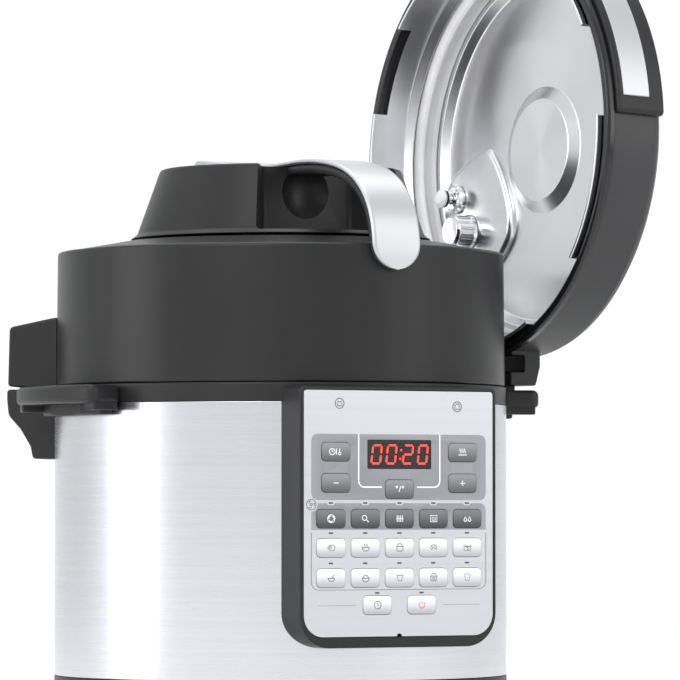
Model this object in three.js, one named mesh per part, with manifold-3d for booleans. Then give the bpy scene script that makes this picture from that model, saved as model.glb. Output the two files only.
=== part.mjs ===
// Electric pressure cooker with two lids: an air-fryer lid in place on the pot and a
// pressure lid standing on edge in the slot of the right-hand carry handle.
// Millimetres. +Z is up, the control panel faces -Y, the origin is the centre of the
// flat underside of the base pan. The rubber feet reach FOOT_H below the origin.
import * as THREE from "three";
import { mergeVertices } from "three/addons/utils/BufferGeometryUtils.js";
import Module from "manifold-3d";

const wasm = await Module();
wasm.setup();

// ---- driving sizes ----
const GAP = 0.3; // clearance left between pieces that touch in the real thing
const BODY_R = 145; // outside radius of the steel housing
const HOUSING_T = 1.0;
const HOUSING_Z0 = 23;
const HOUSING_H = 172;
const HOUSING_Z1 = HOUSING_Z0 + HOUSING_H;
const TOP_COLLAR_H = 12;
const SEAM_Z = HOUSING_Z1 + TOP_COLLAR_H; // joint between the cooker and whichever lid is on it
const PAN_T = 3.5;
const FOOT_H = 5;
const FOOT_R = 11;
const FOOT_PITCH_R = BODY_R - 33;
const POT_R = 110; // inside radius of the cooking pot
const POT_T = 1.2;
const POT_Z0 = 56;
const POT_RIM_R = POT_R + 7;
const POT_RIM_Z = SEAM_Z - 6;
const LINER_R = POT_RIM_R + 2.5; // inside radius of the metal well the pot stands in
const LINER_T = 1.2;
const LINER_Z0 = POT_Z0 - 20;
const PLATE_R = POT_R - 14; // heating plate
const PLATE_T = 12;
const SENSOR_R = 14;
const SENSOR_TRAVEL = 2;
const HANDLE_REACH = 27; // how far the carry handles stand out from the housing
const HANDLE_R = BODY_R + HANDLE_REACH;
const HANDLE_HALF_ANGLE = 18.3;
const HANDLE_T = 11.5;
const HANDLE_Z1 = SEAM_Z - 1;
const HANDLE_Z0 = HANDLE_Z1 - HANDLE_T;
const HANDLE_BRACKET_Z = HANDLE_Z0 - 7;
const PANEL_PROUD = 6; // how far the control panel stands out from the housing
const PANEL_Y = -(BODY_R + PANEL_PROUD); // front face of the control panel frame
const PANEL_Z0 = HOUSING_Z0 + 20.5;
const PANEL_Z1 = SEAM_Z - 3;
const PANEL_H = PANEL_Z1 - PANEL_Z0;
const PANEL_CORNER_R = 21;
const FRAME_W = 2.2; // visible edge of the frame around the fascia
const FASCIA_T = 3;
const FASCIA_Z0 = PANEL_Z0 + 6.5;
const FASCIA_CORNER_R = 14;
const KEY_W = 20;
const KEY_GAP_X = 4.3;
const KEY_H = 11.4;
const KEY_R = 2.6;
const KEY_PROUD = 0.6;
const KEY_PITCH_X = KEY_W + KEY_GAP_X;
const PANEL_MARGIN = 11.4; // outermost key to the edge of the panel frame
const PANEL_HALF_W = 2 * KEY_PITCH_X + KEY_W / 2 + PANEL_MARGIN;
const DISPLAY_W = 45;
const DISPLAY_H = 17.4;
const DISPLAY_Z = PANEL_Z1 - 0.2592 * PANEL_H;
const DRUM_Z0 = SEAM_Z + GAP;
const DRUM_H = 86;
const DRUM_TOP_Z = SEAM_Z + DRUM_H;
const DRUM_R = BODY_R - 1;
const TOWER_H = 45;
const TOWER_Z0 = DRUM_TOP_Z + 8.5;
const TOWER_Z1 = TOWER_Z0 + TOWER_H;
const TOWER_R0 = 92;
const TOWER_R1 = 77.5;
const CHANNEL_Y = -32.5; // flat back wall of the finger space cut into the tower
const CHANNEL_HALF_W = 31.6;
const CHANNEL_FLARE = 0.66; // how far each side of the finger space opens per unit of depth
const DIMPLE_R = 22; // ball that leaves the fingertip hollow in the back wall
const DIMPLE_Z = TOWER_Z1 - 15.7;
const CHANNEL_Z = TOWER_Z0 + 2.5;
const STRAP_T = 3.6;
const STRAP_HALF_W = 17;
const STRAP_Z0 = DRUM_TOP_Z - 16.5; // lowest point of the strap's round front end
const LINER_STRIP_T = 6; // back of the strap to the back of the dark strip under it
const CHAMBER_R = 116; // inside radius of the air-fryer chamber
const CHAMBER_TOP_Z = DRUM_TOP_Z - 7;
const FAN_R = 70;
const FAN_Z = CHAMBER_TOP_Z - 14;
const COIL_Z = CHAMBER_TOP_Z - 38;
const GUARD_Z = CHAMBER_TOP_Z - 62;
const DOCK_ANGLE = 142; // direction of the lid connector from +X, towards the rear left
const DOCK_W = 46;
const DOCK_R = BODY_R + 30;
const LID_R = 139.3; // side wall of the pressure lid
const LID_LIP_R = LID_R + 2.2;
const LID_DEPTH = 38; // from the lip to the back edge of the side wall
const LID_CROWN = LID_DEPTH + 25;
const FLANGE_R = LID_R - 4.8; // locking flange of the steel inner lid
const FLANGE_DROP = 4; // how far the flange stands out in front of the lip
const FLANGE_T = 2;
const NOTCH_AT = [44, 116, 184, 252, 320]; // directions of the gaps between the locking lugs
const NOTCH_SPAN = 27;
const NOTCH_Z = 6; // how far behind the lip the gaps reach
const INNER_DEPTH = LID_DEPTH + 10; // depth of the steel disc behind the lip
const RING_R1 = FLANGE_R - 4;
const RING_R0 = RING_R1 - 10;
const RING_Z0 = INNER_DEPTH - 19;
const RING_Z1 = INNER_DEPTH - 5.6;
const FIN_T = 8;
const FIN_HALF_W = 20;
const FIN_SLACK = 1.4; // play of the fin in its slot, all round
const FIN_X = BODY_R + 15; // middle of the fin and of its slot
const FIN_Z0 = HANDLE_Z0 + 2.5;
const FLOAT_TRAVEL = 4; // rise of the float pin under pressure
const COLLAR_H = 5; // collar that guides the float pin
const PARK_X = BODY_R + 8.5; // where the parked lid's lip centre stands
const PARK_TURN = 2.5; // the loose fit lets the parked lid turn about the vertical
const PARK_Z = FIN_Z0 + LID_R + 32.7;
const PARK_LEAN = 2;
const SEG = 48;

const rad = (d) => (d * Math.PI) / 180;
const BASE_TOP_R = BODY_R - 0.3;

function rotated(r, degrees) {
  return [r * Math.cos(rad(degrees)), r * Math.sin(rad(degrees))];
}

// ---- solids ----
function toManifold(geometry) {
  let g = geometry.index ? geometry.toNonIndexed() : geometry.clone();
  for (const name of Object.keys(g.attributes)) {
    if (name !== "position") g.deleteAttribute(name);
  }
  g = mergeVertices(g, 1e-4);
  const mesh = new wasm.Mesh({
    numProp: 3,
    vertProperties: new Float32Array(g.attributes.position.array),
    triVerts: new Uint32Array(g.index.array),
  });
  mesh.merge();
  return new wasm.Manifold(mesh);
}

function fromManifold(solid) {
  const mesh = solid.getMesh();
  const g = new THREE.BufferGeometry();
  g.setAttribute("position", new THREE.BufferAttribute(new Float32Array(mesh.vertProperties), 3));
  g.setIndex(new THREE.BufferAttribute(new Uint32Array(mesh.triVerts), 1));
  return g;
}

function combine(how, first, others) {
  let solid = toManifold(first);
  for (const other of others) {
    solid = solid[how](toManifold(other));
  }
  return fromManifold(solid);
}

const cut = (a, ...b) => combine("subtract", a, b);
const join = (a, ...b) => combine("add", a, b);
const meet = (a, ...b) => combine("intersect", a, b);

// Reverses the faces when the solid came out inside out.
function outward(geometry) {
  const g = geometry.index ? geometry.toNonIndexed() : geometry;
  const p = g.attributes.position.array;
  let volume = 0;
  for (let i = 0; i < p.length; i += 9) {
    volume += p[i] * (p[i + 4] * p[i + 8] - p[i + 5] * p[i + 7]);
    volume += p[i + 1] * (p[i + 5] * p[i + 6] - p[i + 3] * p[i + 8]);
    volume += p[i + 2] * (p[i + 3] * p[i + 7] - p[i + 4] * p[i + 6]);
  }
  if (volume < 0) {
    for (let i = 0; i < p.length; i += 9) {
      for (let k = 0; k < 3; k += 1) {
        const keep = p[i + 3 + k];
        p[i + 3 + k] = p[i + 6 + k];
        p[i + 6 + k] = keep;
      }
    }
  }
  return g;
}

// A closed outline of [radius, height] pairs turned about the Z axis.
function turned(profile, segments = SEG) {
  const points = profile.map(([r, z]) => new THREE.Vector2(r, z));
  const closesOnAxis = profile[0][0] === 0 && profile[profile.length - 1][0] === 0;
  if (!closesOnAxis) points.push(points[0].clone());
  const g = new THREE.LatheGeometry(points, segments);
  g.rotateX(Math.PI / 2);
  return outward(g);
}

function disc(r, z0, z1, segments = SEG) {
  return turned([[0, z0], [r, z0], [r, z1], [0, z1]], segments);
}

function ring(r0, r1, z0, z1, segments = SEG) {
  return turned([[r0, z0], [r1, z0], [r1, z1], [r0, z1]], segments);
}

function box(x0, x1, y0, y1, z0, z1) {
  const g = new THREE.BoxGeometry(x1 - x0, y1 - y0, z1 - z0);
  g.translate((x0 + x1) / 2, (y0 + y1) / 2, (z0 + z1) / 2);
  return g;
}

// A flat outline pushed along +Z from z0 to z1.
function prism(outline, z0, z1) {
  const shape = new THREE.Shape(outline.map(([x, y]) => new THREE.Vector2(x, y)));
  const g = new THREE.ExtrudeGeometry(shape, { depth: z1 - z0, bevelEnabled: false, steps: 1 });
  g.translate(0, 0, z0);
  return outward(g);
}

// The same outline standing up: x stays x and y becomes z, pushed along Y.
function prismY(outline, y0, y1) {
  const g = prism(outline, -y1, -y0);
  g.rotateX(Math.PI / 2);
  return g;
}

// Outline of [y, z] pairs pushed along X.
function prismX(outline, x0, x1) {
  const g = prism(outline, x0, x1);
  g.rotateX(Math.PI / 2);
  g.rotateZ(Math.PI / 2);
  return g;
}

function roundedRect(w, h, r, cx = 0, cy = 0, steps = 4) {
  const points = [];
  const corners = [[1, 1, 0], [-1, 1, 90], [-1, -1, 180], [1, -1, 270]];
  for (const [sx, sy, start] of corners) {
    for (let i = 0; i <= steps; i += 1) {
      const a = rad(start + (90 * i) / steps);
      const x = cx + sx * (w / 2 - r) + r * Math.cos(a);
      const y = cy + sy * (h / 2 - r) + r * Math.sin(a);
      points.push([x, y]);
    }
  }
  return points;
}

// Part of a flat ring between two angles.
function sector(r0, r1, a0, a1, steps = 12) {
  const points = [];
  for (let i = 0; i <= steps; i += 1) {
    const a = rad(a0 + ((a1 - a0) * i) / steps);
    points.push([r1 * Math.cos(a), r1 * Math.sin(a)]);
  }
  for (let i = steps; i >= 0; i -= 1) {
    const a = rad(a0 + ((a1 - a0) * i) / steps);
    points.push([r0 * Math.cos(a), r0 * Math.sin(a)]);
  }
  return points;
}

function moved(geometry, x, y, z) {
  geometry.translate(x, y, z);
  return geometry;
}

function turnedBy(geometry, degrees) {
  geometry.rotateZ(rad(degrees));
  return geometry;
}

// A round rod swept along points, with flat ends.
function rod(points, r, sides = 8) {
  const curve = new THREE.CatmullRomCurve3(points);
  const n = points.length - 1;
  const frames = curve.computeFrenetFrames(n, false);
  const rings = [];
  for (let i = 0; i <= n; i += 1) {
    const c = curve.getPointAt(i / n);
    const loop = [];
    for (let k = 0; k < sides; k += 1) {
      const a = (2 * Math.PI * k) / sides;
      const p = c.clone();
      p.addScaledVector(frames.normals[i], r * Math.cos(a));
      p.addScaledVector(frames.binormals[i], r * Math.sin(a));
      loop.push(p);
    }
    rings.push({ c, loop });
  }
  const out = [];
  const face = (...v) => v.forEach((p) => out.push(p.x, p.y, p.z));
  for (let i = 0; i < n; i += 1) {
    for (let k = 0; k < sides; k += 1) {
      const m = (k + 1) % sides;
      const a = rings[i].loop;
      const b = rings[i + 1].loop;
      face(a[k], a[m], b[m]);
      face(a[k], b[m], b[k]);
    }
  }
  for (let k = 0; k < sides; k += 1) {
    const m = (k + 1) % sides;
    face(rings[0].c, rings[0].loop[m], rings[0].loop[k]);
    face(rings[n].c, rings[n].loop[k], rings[n].loop[m]);
  }
  const g = new THREE.BufferGeometry();
  g.setAttribute("position", new THREE.BufferAttribute(new Float32Array(out), 3));
  return outward(g);
}

// ---- cooker base ----
function footPlaces() {
  return [45, 135, 225, 315].map((a) => [
    FOOT_PITCH_R * Math.cos(rad(a)),
    FOOT_PITCH_R * Math.sin(rad(a)),
  ]);
}

function basePan() {
  const inside = BODY_R - HOUSING_T - GAP;
  const shell = turned([
    [0, 0], [BODY_R - 13, 0], [BODY_R - 4, 4], [BODY_R + 0.4, 12],
    [BODY_R + 0.4, HOUSING_Z0 - GAP], [inside, HOUSING_Z0 - GAP], [inside, HOUSING_Z0 + 15],
    [inside - 2.5, HOUSING_Z0 + 15], [inside - 2.5, 12], [BODY_R - 15, PAN_T], [0, PAN_T],
  ]);
  const cuts = footPlaces().map(([x, y]) => moved(disc(FOOT_R + GAP, -1, 1.3, 16), x, y, 0));
  for (let i = -3; i <= 3; i += 1) {
    if (i !== 0) {
      const vent = roundedRect(36, 4, 1.9, 0, i * 14 + Math.sign(i) * 16, 2);
      cuts.push(prism(vent, -1, PAN_T + 1));
    }
  }
  return cut(shell, ...cuts);
}

function foot(x, y) {
  const pad = turned([
    [0, -FOOT_H], [FOOT_R - 2, -FOOT_H], [FOOT_R, -FOOT_H + 2], [FOOT_R, 1], [0, 1],
  ], 16);
  return moved(pad, x, y, 0);
}

function panelOutline(halfW, z0, z1, r, rTop) {
  const points = [];
  const corners = [
    [halfW - rTop, z1 - rTop, 0, rTop], [-halfW + rTop, z1 - rTop, 90, rTop],
    [-halfW + r, z0 + r, 180, r], [halfW - r, z0 + r, 270, r],
  ];
  for (const [cx, cz, start, cr] of corners) {
    for (let i = 0; i <= 6; i += 1) {
      const a = rad(start + 15 * i);
      points.push([cx + cr * Math.cos(a), cz + cr * Math.sin(a)]);
    }
  }
  return points;
}

const INLET_Z = 62;
const INLET_W = 36;
const INLET_H = 30;

function steelHousing() {
  const shell = ring(BODY_R - HOUSING_T, BODY_R, HOUSING_Z0, HOUSING_Z1);
  const w = PANEL_HALF_W - 12;
  const window = box(-w, w, -BODY_R - 15, -BODY_R / 2, PANEL_Z0 + 12, HOUSING_Z1 - 10);
  const low = INLET_Z - INLET_H / 2;
  const inlet = box(-INLET_W / 2, INLET_W / 2, BODY_R / 2, BODY_R + 15, low, low + INLET_H);
  return cut(shell, window, inlet);
}

// The dark ring round the mouth. It carries the pot's rim on its inner step.
function topCollar() {
  const seat = POT_RIM_Z - POT_T - GAP;
  return turned([
    [LINER_R + LINER_T + GAP, HOUSING_Z1 - 12], [LINER_R + LINER_T + 3, HOUSING_Z1 - 12],
    [LINER_R + LINER_T + 3, HOUSING_Z1 - 5], [BODY_R - HOUSING_T - GAP, HOUSING_Z1 - 5],
    [BODY_R - HOUSING_T - GAP, HOUSING_Z1 + GAP], [BASE_TOP_R, HOUSING_Z1 + GAP],
    [BASE_TOP_R, SEAM_Z - 1], [BASE_TOP_R - 1, SEAM_Z], [LINER_R + 3.5, SEAM_Z],
    [LINER_R + 1.5, SEAM_Z - 1.5], [LINER_R, seat], [LINER_R - 5.5, seat],
    [LINER_R - 5.5, seat - 1.4], [LINER_R + LINER_T + GAP, seat - 1.4],
  ]);
}

// Carry handle on the +X side; the left one is the same turned half round.
function carryHandle() {
  const root = BODY_R + GAP;
  const half = HANDLE_HALF_ANGLE;
  const plate = prism(sector(root, HANDLE_R, -half, half, 10), HANDLE_Z0, HANDLE_Z1);
  const ledgeOutline = sector(root, HANDLE_R - 16, -half + 3, half - 3, 10);
  const ledge = prism(ledgeOutline, HANDLE_BRACKET_Z, HANDLE_Z0 + 1);
  const hollowOutline = sector(root + 2.5, HANDLE_R - 19, -half + 6, half - 6, 8);
  const hollow = prism(hollowOutline, HANDLE_BRACKET_Z - 7, HANDLE_Z0);
  const slotX0 = FIN_X - FIN_T / 2 - FIN_SLACK;
  const slotX1 = FIN_X + FIN_T / 2 + FIN_SLACK;
  const slotW = FIN_HALF_W + FIN_SLACK;
  const slot = box(slotX0, slotX1, -slotW, slotW, HANDLE_BRACKET_Z - 7, HANDLE_Z1 + 4);
  const rims = [];
  for (const side of [-1, 1]) {
    const a0 = side > 0 ? half - 3.4 : -half;
    const rim = sector(root + 4, HANDLE_R - 2, a0, a0 + 3.4, 2);
    rims.push(prism(rim, HANDLE_BRACKET_Z + 2, HANDLE_Z0 + 1));
  }
  const trimOutline = sector(root, HANDLE_R + 5, -half - 2, half + 2, 12);
  const trim = prism(trimOutline, HANDLE_BRACKET_Z - 17, HANDLE_Z1 + 24);
  return meet(cut(join(plate, ledge, ...rims), hollow, slot), trim);
}

function panelBezel() {
  const outline = panelOutline(PANEL_HALF_W, PANEL_Z0, PANEL_Z1, PANEL_CORNER_R, 3);
  const block = prismY(outline, PANEL_Y, 0);
  const back = disc(BODY_R + GAP, 0, PANEL_Z1 + 26);
  const seatW = PANEL_HALF_W - FRAME_W;
  const seatBack = PANEL_Y + FASCIA_T + GAP;
  const seatOutline = panelOutline(seatW, FASCIA_Z0, PANEL_Z1 - 2, FASCIA_CORNER_R, 2);
  const seat = prismY(seatOutline, PANEL_Y - 1, seatBack);
  const keysW = 2 * KEY_PITCH_X + KEY_W / 2 + 1.4;
  const displayTop = DISPLAY_Z + DISPLAY_H / 2 + 6;
  const hollow = box(-keysW, keysW, PANEL_Y - 1, -BODY_R / 2, PANEL_Z0 + 14, displayTop + 5.9);
  return cut(block, back, seat, hollow);
}

function keyPlaces() {
  const side = 1.86 * KEY_PITCH_X;
  const down = (share) => PANEL_Z1 - share * PANEL_H;
  const upper = down(0.2505);
  const middle = down(0.3695);
  const places = [
    ["key_upper_left", -side, upper], ["key_upper_right", side, upper],
    ["key_minus", -side, middle], ["key_plus", side, middle], ["key_centre", 0, down(0.3925)],
  ];
  const rows = [["a", down(0.5059)], ["b", down(0.6174)], ["c", down(0.7327)]];
  for (const [row, z] of rows) {
    for (let i = -2; i <= 2; i += 1) {
      places.push([`key_${row}${i + 3}`, i * KEY_PITCH_X, z]);
    }
  }
  const low = down(0.8368);
  places.push(["key_cancel", -0.65 * KEY_PITCH_X, low], ["key_start", 0.65 * KEY_PITCH_X, low]);
  return places;
}

function panelFascia() {
  const g = GAP;
  const w = PANEL_HALF_W - FRAME_W - g;
  const outline = panelOutline(w, FASCIA_Z0 + g, PANEL_Z1 - 2 - g, FASCIA_CORNER_R - g, 2);
  const plate = prismY(outline, PANEL_Y, PANEL_Y + FASCIA_T);
  const holes = keyPlaces().map(([, x, z]) =>
    prismY(roundedRect(KEY_W + 2 * g, KEY_H + 2 * g, KEY_R + g, x, z, 2), PANEL_Y - 2, PANEL_Y + 8));
  const window = roundedRect(DISPLAY_W + 2 * g, DISPLAY_H + 2 * g, 1.5, 0, DISPLAY_Z, 3);
  holes.push(prismY(window, PANEL_Y - 2, PANEL_Y + 8));
  return cut(plate, ...holes);
}

function keyCap(x, z) {
  const outline = roundedRect(KEY_W, KEY_H, KEY_R, x, z, 2);
  return prismY(outline, PANEL_Y - KEY_PROUD, PANEL_Y + FASCIA_T + 0.2);
}

// Window and case of the display, clear of the keys above and beside it.
function displayModule() {
  const window = roundedRect(DISPLAY_W, DISPLAY_H, 1.2, 0, DISPLAY_Z, 3);
  const lens = prismY(window, PANEL_Y + 0.3, PANEL_Y + 4);
  const caseFront = PANEL_Y + FASCIA_T + GAP;
  const body = box(-DISPLAY_W / 2 - 4, DISPLAY_W / 2 + 4, caseFront, caseFront + 6,
    DISPLAY_Z - DISPLAY_H / 2 - 3, DISPLAY_Z + DISPLAY_H / 2 + 6);
  return join(lens, body);
}

// Metal well: floor with a hole for the sensor, wall and a top flange under the collar.
function innerHousing() {
  const top = POT_RIM_Z - POT_T - 2.4 - GAP;
  return turned([
    [SENSOR_R + 4, LINER_Z0], [LINER_R - 6, LINER_Z0], [LINER_R + LINER_T, LINER_Z0 + 8],
    [LINER_R + LINER_T, top], [LINER_R, top], [LINER_R, LINER_Z0 + 8.6],
    [LINER_R - 6.6, LINER_Z0 + LINER_T], [SENSOR_R + 4, LINER_Z0 + LINER_T],
  ]);
}

function heatingPlate() {
  const z1 = POT_Z0 - GAP;
  return turned([
    [SENSOR_R + 2, z1 - PLATE_T], [PLATE_R - 4, z1 - PLATE_T], [PLATE_R, z1 - PLATE_T + 3],
    [PLATE_R, z1 - 2], [PLATE_R - 2, z1], [SENSOR_R + 2, z1],
  ]);
}

function temperatureSensor() {
  const top = POT_Z0 - GAP;
  return turned([
    [0, LINER_Z0 + 2 + SENSOR_TRAVEL], [SENSOR_R - 4, LINER_Z0 + 2 + SENSOR_TRAVEL],
    [SENSOR_R - 4, top - 8], [SENSOR_R, top - 8], [SENSOR_R, top - 1.5],
    [SENSOR_R - 1.5, top], [0, top],
  ], 32);
}

function powerInlet() {
  const g = GAP;
  const w = INLET_W - 2 * g;
  const h = INLET_H - 2 * g;
  const depth = 24;
  const wall = Math.sqrt(BODY_R * BODY_R - (w * w) / 4) + 2.2;
  const body = prismY(roundedRect(w, h, 2, 0, INLET_Z, 3), wall - depth, wall);
  const mouth = prismY(roundedRect(25, 20, 3, 0, INLET_Z, 3), wall - depth + 4, wall + 2);
  const pins = [-7, 0, 7].map((x) => {
    const z = INLET_Z + (x === 0 ? 4 : -2);
    return box(x - 1, x + 1, wall - depth + 3.5, wall - 6, z - 2, z + 2);
  });
  return join(cut(body, mouth), ...pins);
}

// Lower half of the air-fryer lid's electrical connector, on the cooker's side.
function dockSocket() {
  const r0 = BODY_R + GAP;
  const outline = [
    [r0 - 20, SEAM_Z - 46], [DOCK_R - 17, SEAM_Z - 46], [DOCK_R - 15.5, SEAM_Z - 38],
    [DOCK_R - 9, SEAM_Z - 27], [DOCK_R - 1, SEAM_Z - 18], [DOCK_R, SEAM_Z - 8],
    [DOCK_R, SEAM_Z - 1.3], [r0 - 20, SEAM_Z - 1.3],
  ];
  const body = prismY(outline, -DOCK_W / 2, DOCK_W / 2);
  const pocket = box(DOCK_R - 21, DOCK_R - 7, -15, 15, SEAM_Z - 16, SEAM_Z + 2);
  return turnedBy(cut(body, disc(r0, SEAM_Z / 2, SEAM_Z + 90), pocket), DOCK_ANGLE);
}

// ---- cooking pot ----
function innerPot() {
  const t = POT_T;
  const z = POT_Z0;
  return turned([
    [0, z], [POT_R - 9, z], [POT_R - 2, z + 3], [POT_R + t, z + 12],
    [POT_R + t, POT_RIM_Z - t - 2], [POT_R + t + 1, POT_RIM_Z - t], [POT_RIM_R, POT_RIM_Z - t],
    [POT_RIM_R, POT_RIM_Z], [POT_R + 1.5, POT_RIM_Z], [POT_R, POT_RIM_Z - 2],
    [POT_R, z + 12.5], [POT_R - 3, z + 4.4], [POT_R - 9.5, z + t + 0.8], [0, z + t + 0.8],
  ]);
}

// ---- air-fryer lid ----
function fryerDrum() {
  const wall = 2.6;
  const holeR = TOWER_R1 - 6;
  return turned([
    [CHAMBER_R + 2, DRUM_Z0], [DRUM_R - 0.8, DRUM_Z0], [DRUM_R, DRUM_Z0 + 1],
    [DRUM_R - 0.7, DRUM_TOP_Z - 4], [DRUM_R - 2, DRUM_TOP_Z - 1], [DRUM_R - 4.5, DRUM_TOP_Z],
    [DRUM_R - 6, DRUM_TOP_Z - 0.9], [DRUM_R - 8, DRUM_TOP_Z + 0.6], [TOWER_R0 + 12, TOWER_Z0 - 2.4],
    [TOWER_R0 + 2, TOWER_Z0 - GAP], [holeR, TOWER_Z0 - GAP], [holeR, TOWER_Z0 - 3.2],
    [TOWER_R0 + 8, TOWER_Z0 - 5.6], [DRUM_R - 9, DRUM_TOP_Z - 3], [DRUM_R - wall - 1.5, DRUM_TOP_Z - 6],
    [DRUM_R - wall, DRUM_Z0 + 5], [CHAMBER_R + 2, DRUM_Z0 + 5],
  ]);
}

// Plan of the finger space: a flat back and two sides that open towards the front.
function channelPlan(grow) {
  const back = CHANNEL_Y + grow;
  const reach = TOWER_R0 + 28;
  const w = CHANNEL_HALF_W + grow;
  const front = w + CHANNEL_FLARE * (reach + back);
  return [[-w, back], [-front, -reach], [front, -reach], [w, back]];
}

function fryerTower() {
  const wall = 3;
  const outside = [
    [0, TOWER_Z0], [TOWER_R0 + 5, TOWER_Z0], [TOWER_R0 + 1.2, TOWER_Z0 + 2.2],
    [TOWER_R0 - 1.2, TOWER_Z0 + 5], [TOWER_R1 + 0.8, TOWER_Z1 - 2], [TOWER_R1 - 1.4, TOWER_Z1],
    [0, TOWER_Z1],
  ];
  const envelope = turned(outside);
  const hollow = turned([
    [0, TOWER_Z0 - 1], [TOWER_R0 - 6, TOWER_Z0 - 1], [TOWER_R1 - wall - 2, TOWER_Z1 - 7],
    [0, TOWER_Z1 - 7],
  ]);
  const channel = prism(channelPlan(0), CHANNEL_Z, TOWER_Z1 + 5);
  const around = prism(channelPlan(wall), TOWER_Z0 - 2, TOWER_Z1 - 1);
  const knuckle = box(-DIMPLE_R, DIMPLE_R, CHANNEL_Y, CHANNEL_Y + 11, DIMPLE_Z - 14, TOWER_Z1 - 1);
  const dent = new THREE.SphereGeometry(DIMPLE_R, 24, 16);
  dent.translate(0, CHANNEL_Y - 14, DIMPLE_Z);
  return cut(envelope, cut(hollow, join(around, knuckle)), channel, dent);
}

// Side view of the strap's outer face, front to back, as [y, z]. The front curve is given
// as shares of its reach and rise, the rest as places on the tower's flat top.
const STRAP_TOP = TOWER_Z1 + STRAP_T + 0.5;
const STRAP_Y = -(BODY_R + 5);
const CURVE_END = -TOWER_R1 + 1.5;
const FRONT_CURVE = [
  [0, 0], [0.019, 0.195], [0.061, 0.375], [0.128, 0.529], [0.23, 0.668], [0.365, 0.79],
  [0.541, 0.889], [0.743, 0.954], [1, 1],
];
const STRAP_LINE = [
  [STRAP_Y, STRAP_Z0 - 1.5],
  ...FRONT_CURVE.map(([reach, rise]) => [
    STRAP_Y + reach * (CURVE_END - STRAP_Y),
    DRUM_TOP_Z - 5 + rise * (STRAP_TOP - 1.2 - DRUM_TOP_Z + 5),
  ]),
  [-56, STRAP_TOP], [-36, STRAP_TOP + 0.2], [-20, STRAP_TOP], [0, STRAP_TOP],
  [20, STRAP_TOP + 2.4], [40, STRAP_TOP + 6], [56, STRAP_TOP + 6.9], [78, STRAP_TOP + 5],
];

function offsetLine(line, distance) {
  return line.map(([y, z], i) => {
    const a = line[Math.max(0, i - 1)];
    const b = line[Math.min(line.length - 1, i + 1)];
    const len = Math.hypot(b[0] - a[0], b[1] - a[1]);
    return [y + (distance * (b[1] - a[1])) / len, z - (distance * (b[0] - a[0])) / len];
  });
}

function strapBand(outerOffset, innerOffset, line) {
  const outer = offsetLine(line, outerOffset);
  const inner = offsetLine(line, innerOffset).map(([y, z]) => [y, y < -20 ? z : TOWER_Z1 + 0.5]);
  return prismX([...outer, ...inner.reverse()], -40, 40);
}

// The silver strap: a round-ended tongue at the front, a waist, and a pad on the tower.
function strapPlan(widen) {
  const w = STRAP_HALF_W + widen;
  const half = [
    [w, STRAP_Y - 20], [w, -70], [w - 0.5, -50], [w - 3, -30], [w - 4, -12], [w - 2, 4],
    [w + 5, 14], [w + 13, 26], [w + 18, 38], [w + 19, 50], [w + 15, 61], [w + 7, 69], [w - 5, 74],
  ];
  const other = half.map(([x, y]) => [-x, y]).reverse();
  return prism([...half, ...other], STRAP_Z0 - 36, STRAP_TOP + 50);
}

function strapFront(widen, z0) {
  const w = STRAP_HALF_W + widen;
  const high = STRAP_TOP + 50;
  const wide = DRUM_TOP_Z + 37;
  const points = [[w + 30, high], [w + 30, wide], [w, wide - 8]];
  for (let i = 0; i <= 10; i += 1) {
    const a = rad(-18 * i);
    points.push([w * Math.cos(a), z0 + w + w * Math.sin(a)]);
  }
  points.push([-w, wide - 8], [-w - 30, wide], [-w - 30, high]);
  return prismY(points, STRAP_Y - 50, 120);
}

function fryerStrap() {
  return meet(strapBand(0, STRAP_T, STRAP_LINE), strapPlan(0), strapFront(0, STRAP_Z0));
}

function fryerStrapLiner() {
  const line = STRAP_LINE.slice(0, 13);
  const under = strapBand(STRAP_T + GAP, STRAP_T + LINER_STRIP_T, line);
  const band = meet(under, strapPlan(-1), strapFront(-1.2, STRAP_Z0 + 1));
  const clear = turned([
    [0, SEAM_Z], [DRUM_R + 0.6, SEAM_Z], [DRUM_R + 0.1, DRUM_TOP_Z + 0.5], [0, TOWER_Z0 + 10],
  ]);
  const w = STRAP_HALF_W + 4;
  const channelSpace = box(-w, w, STRAP_Y - 50, CHANNEL_Y - GAP, SEAM_Z, STRAP_TOP + 50);
  return meet(cut(band, clear), channelSpace);
}

function fanMotor() {
  const z0 = CHAMBER_TOP_Z + 3;
  return join(disc(24, z0, z0 + 26, 32), disc(28, z0, z0 + 2.5, 32));
}

function chamberLiner() {
  const t = 1;
  return turned([
    [9, CHAMBER_TOP_Z], [CHAMBER_R - 8, CHAMBER_TOP_Z], [CHAMBER_R, CHAMBER_TOP_Z - 8],
    [CHAMBER_R, DRUM_Z0 + 1], [CHAMBER_R + t, DRUM_Z0 + 1], [CHAMBER_R + t, CHAMBER_TOP_Z - 7.6],
    [CHAMBER_R - 7.6, CHAMBER_TOP_Z + t], [9, CHAMBER_TOP_Z + t],
  ]);
}

function heatingCoil() {
  const points = [];
  const turns = 2;
  const n = 60;
  for (let i = 0; i <= n; i += 1) {
    const a = rad(90 + (360 * turns * i) / n);
    const r = 94 - (16 * i) / n;
    points.push(new THREE.Vector3(r * Math.cos(a), r * Math.sin(a), COIL_Z));
  }
  return rod(points, 3.2, 6);
}

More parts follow.
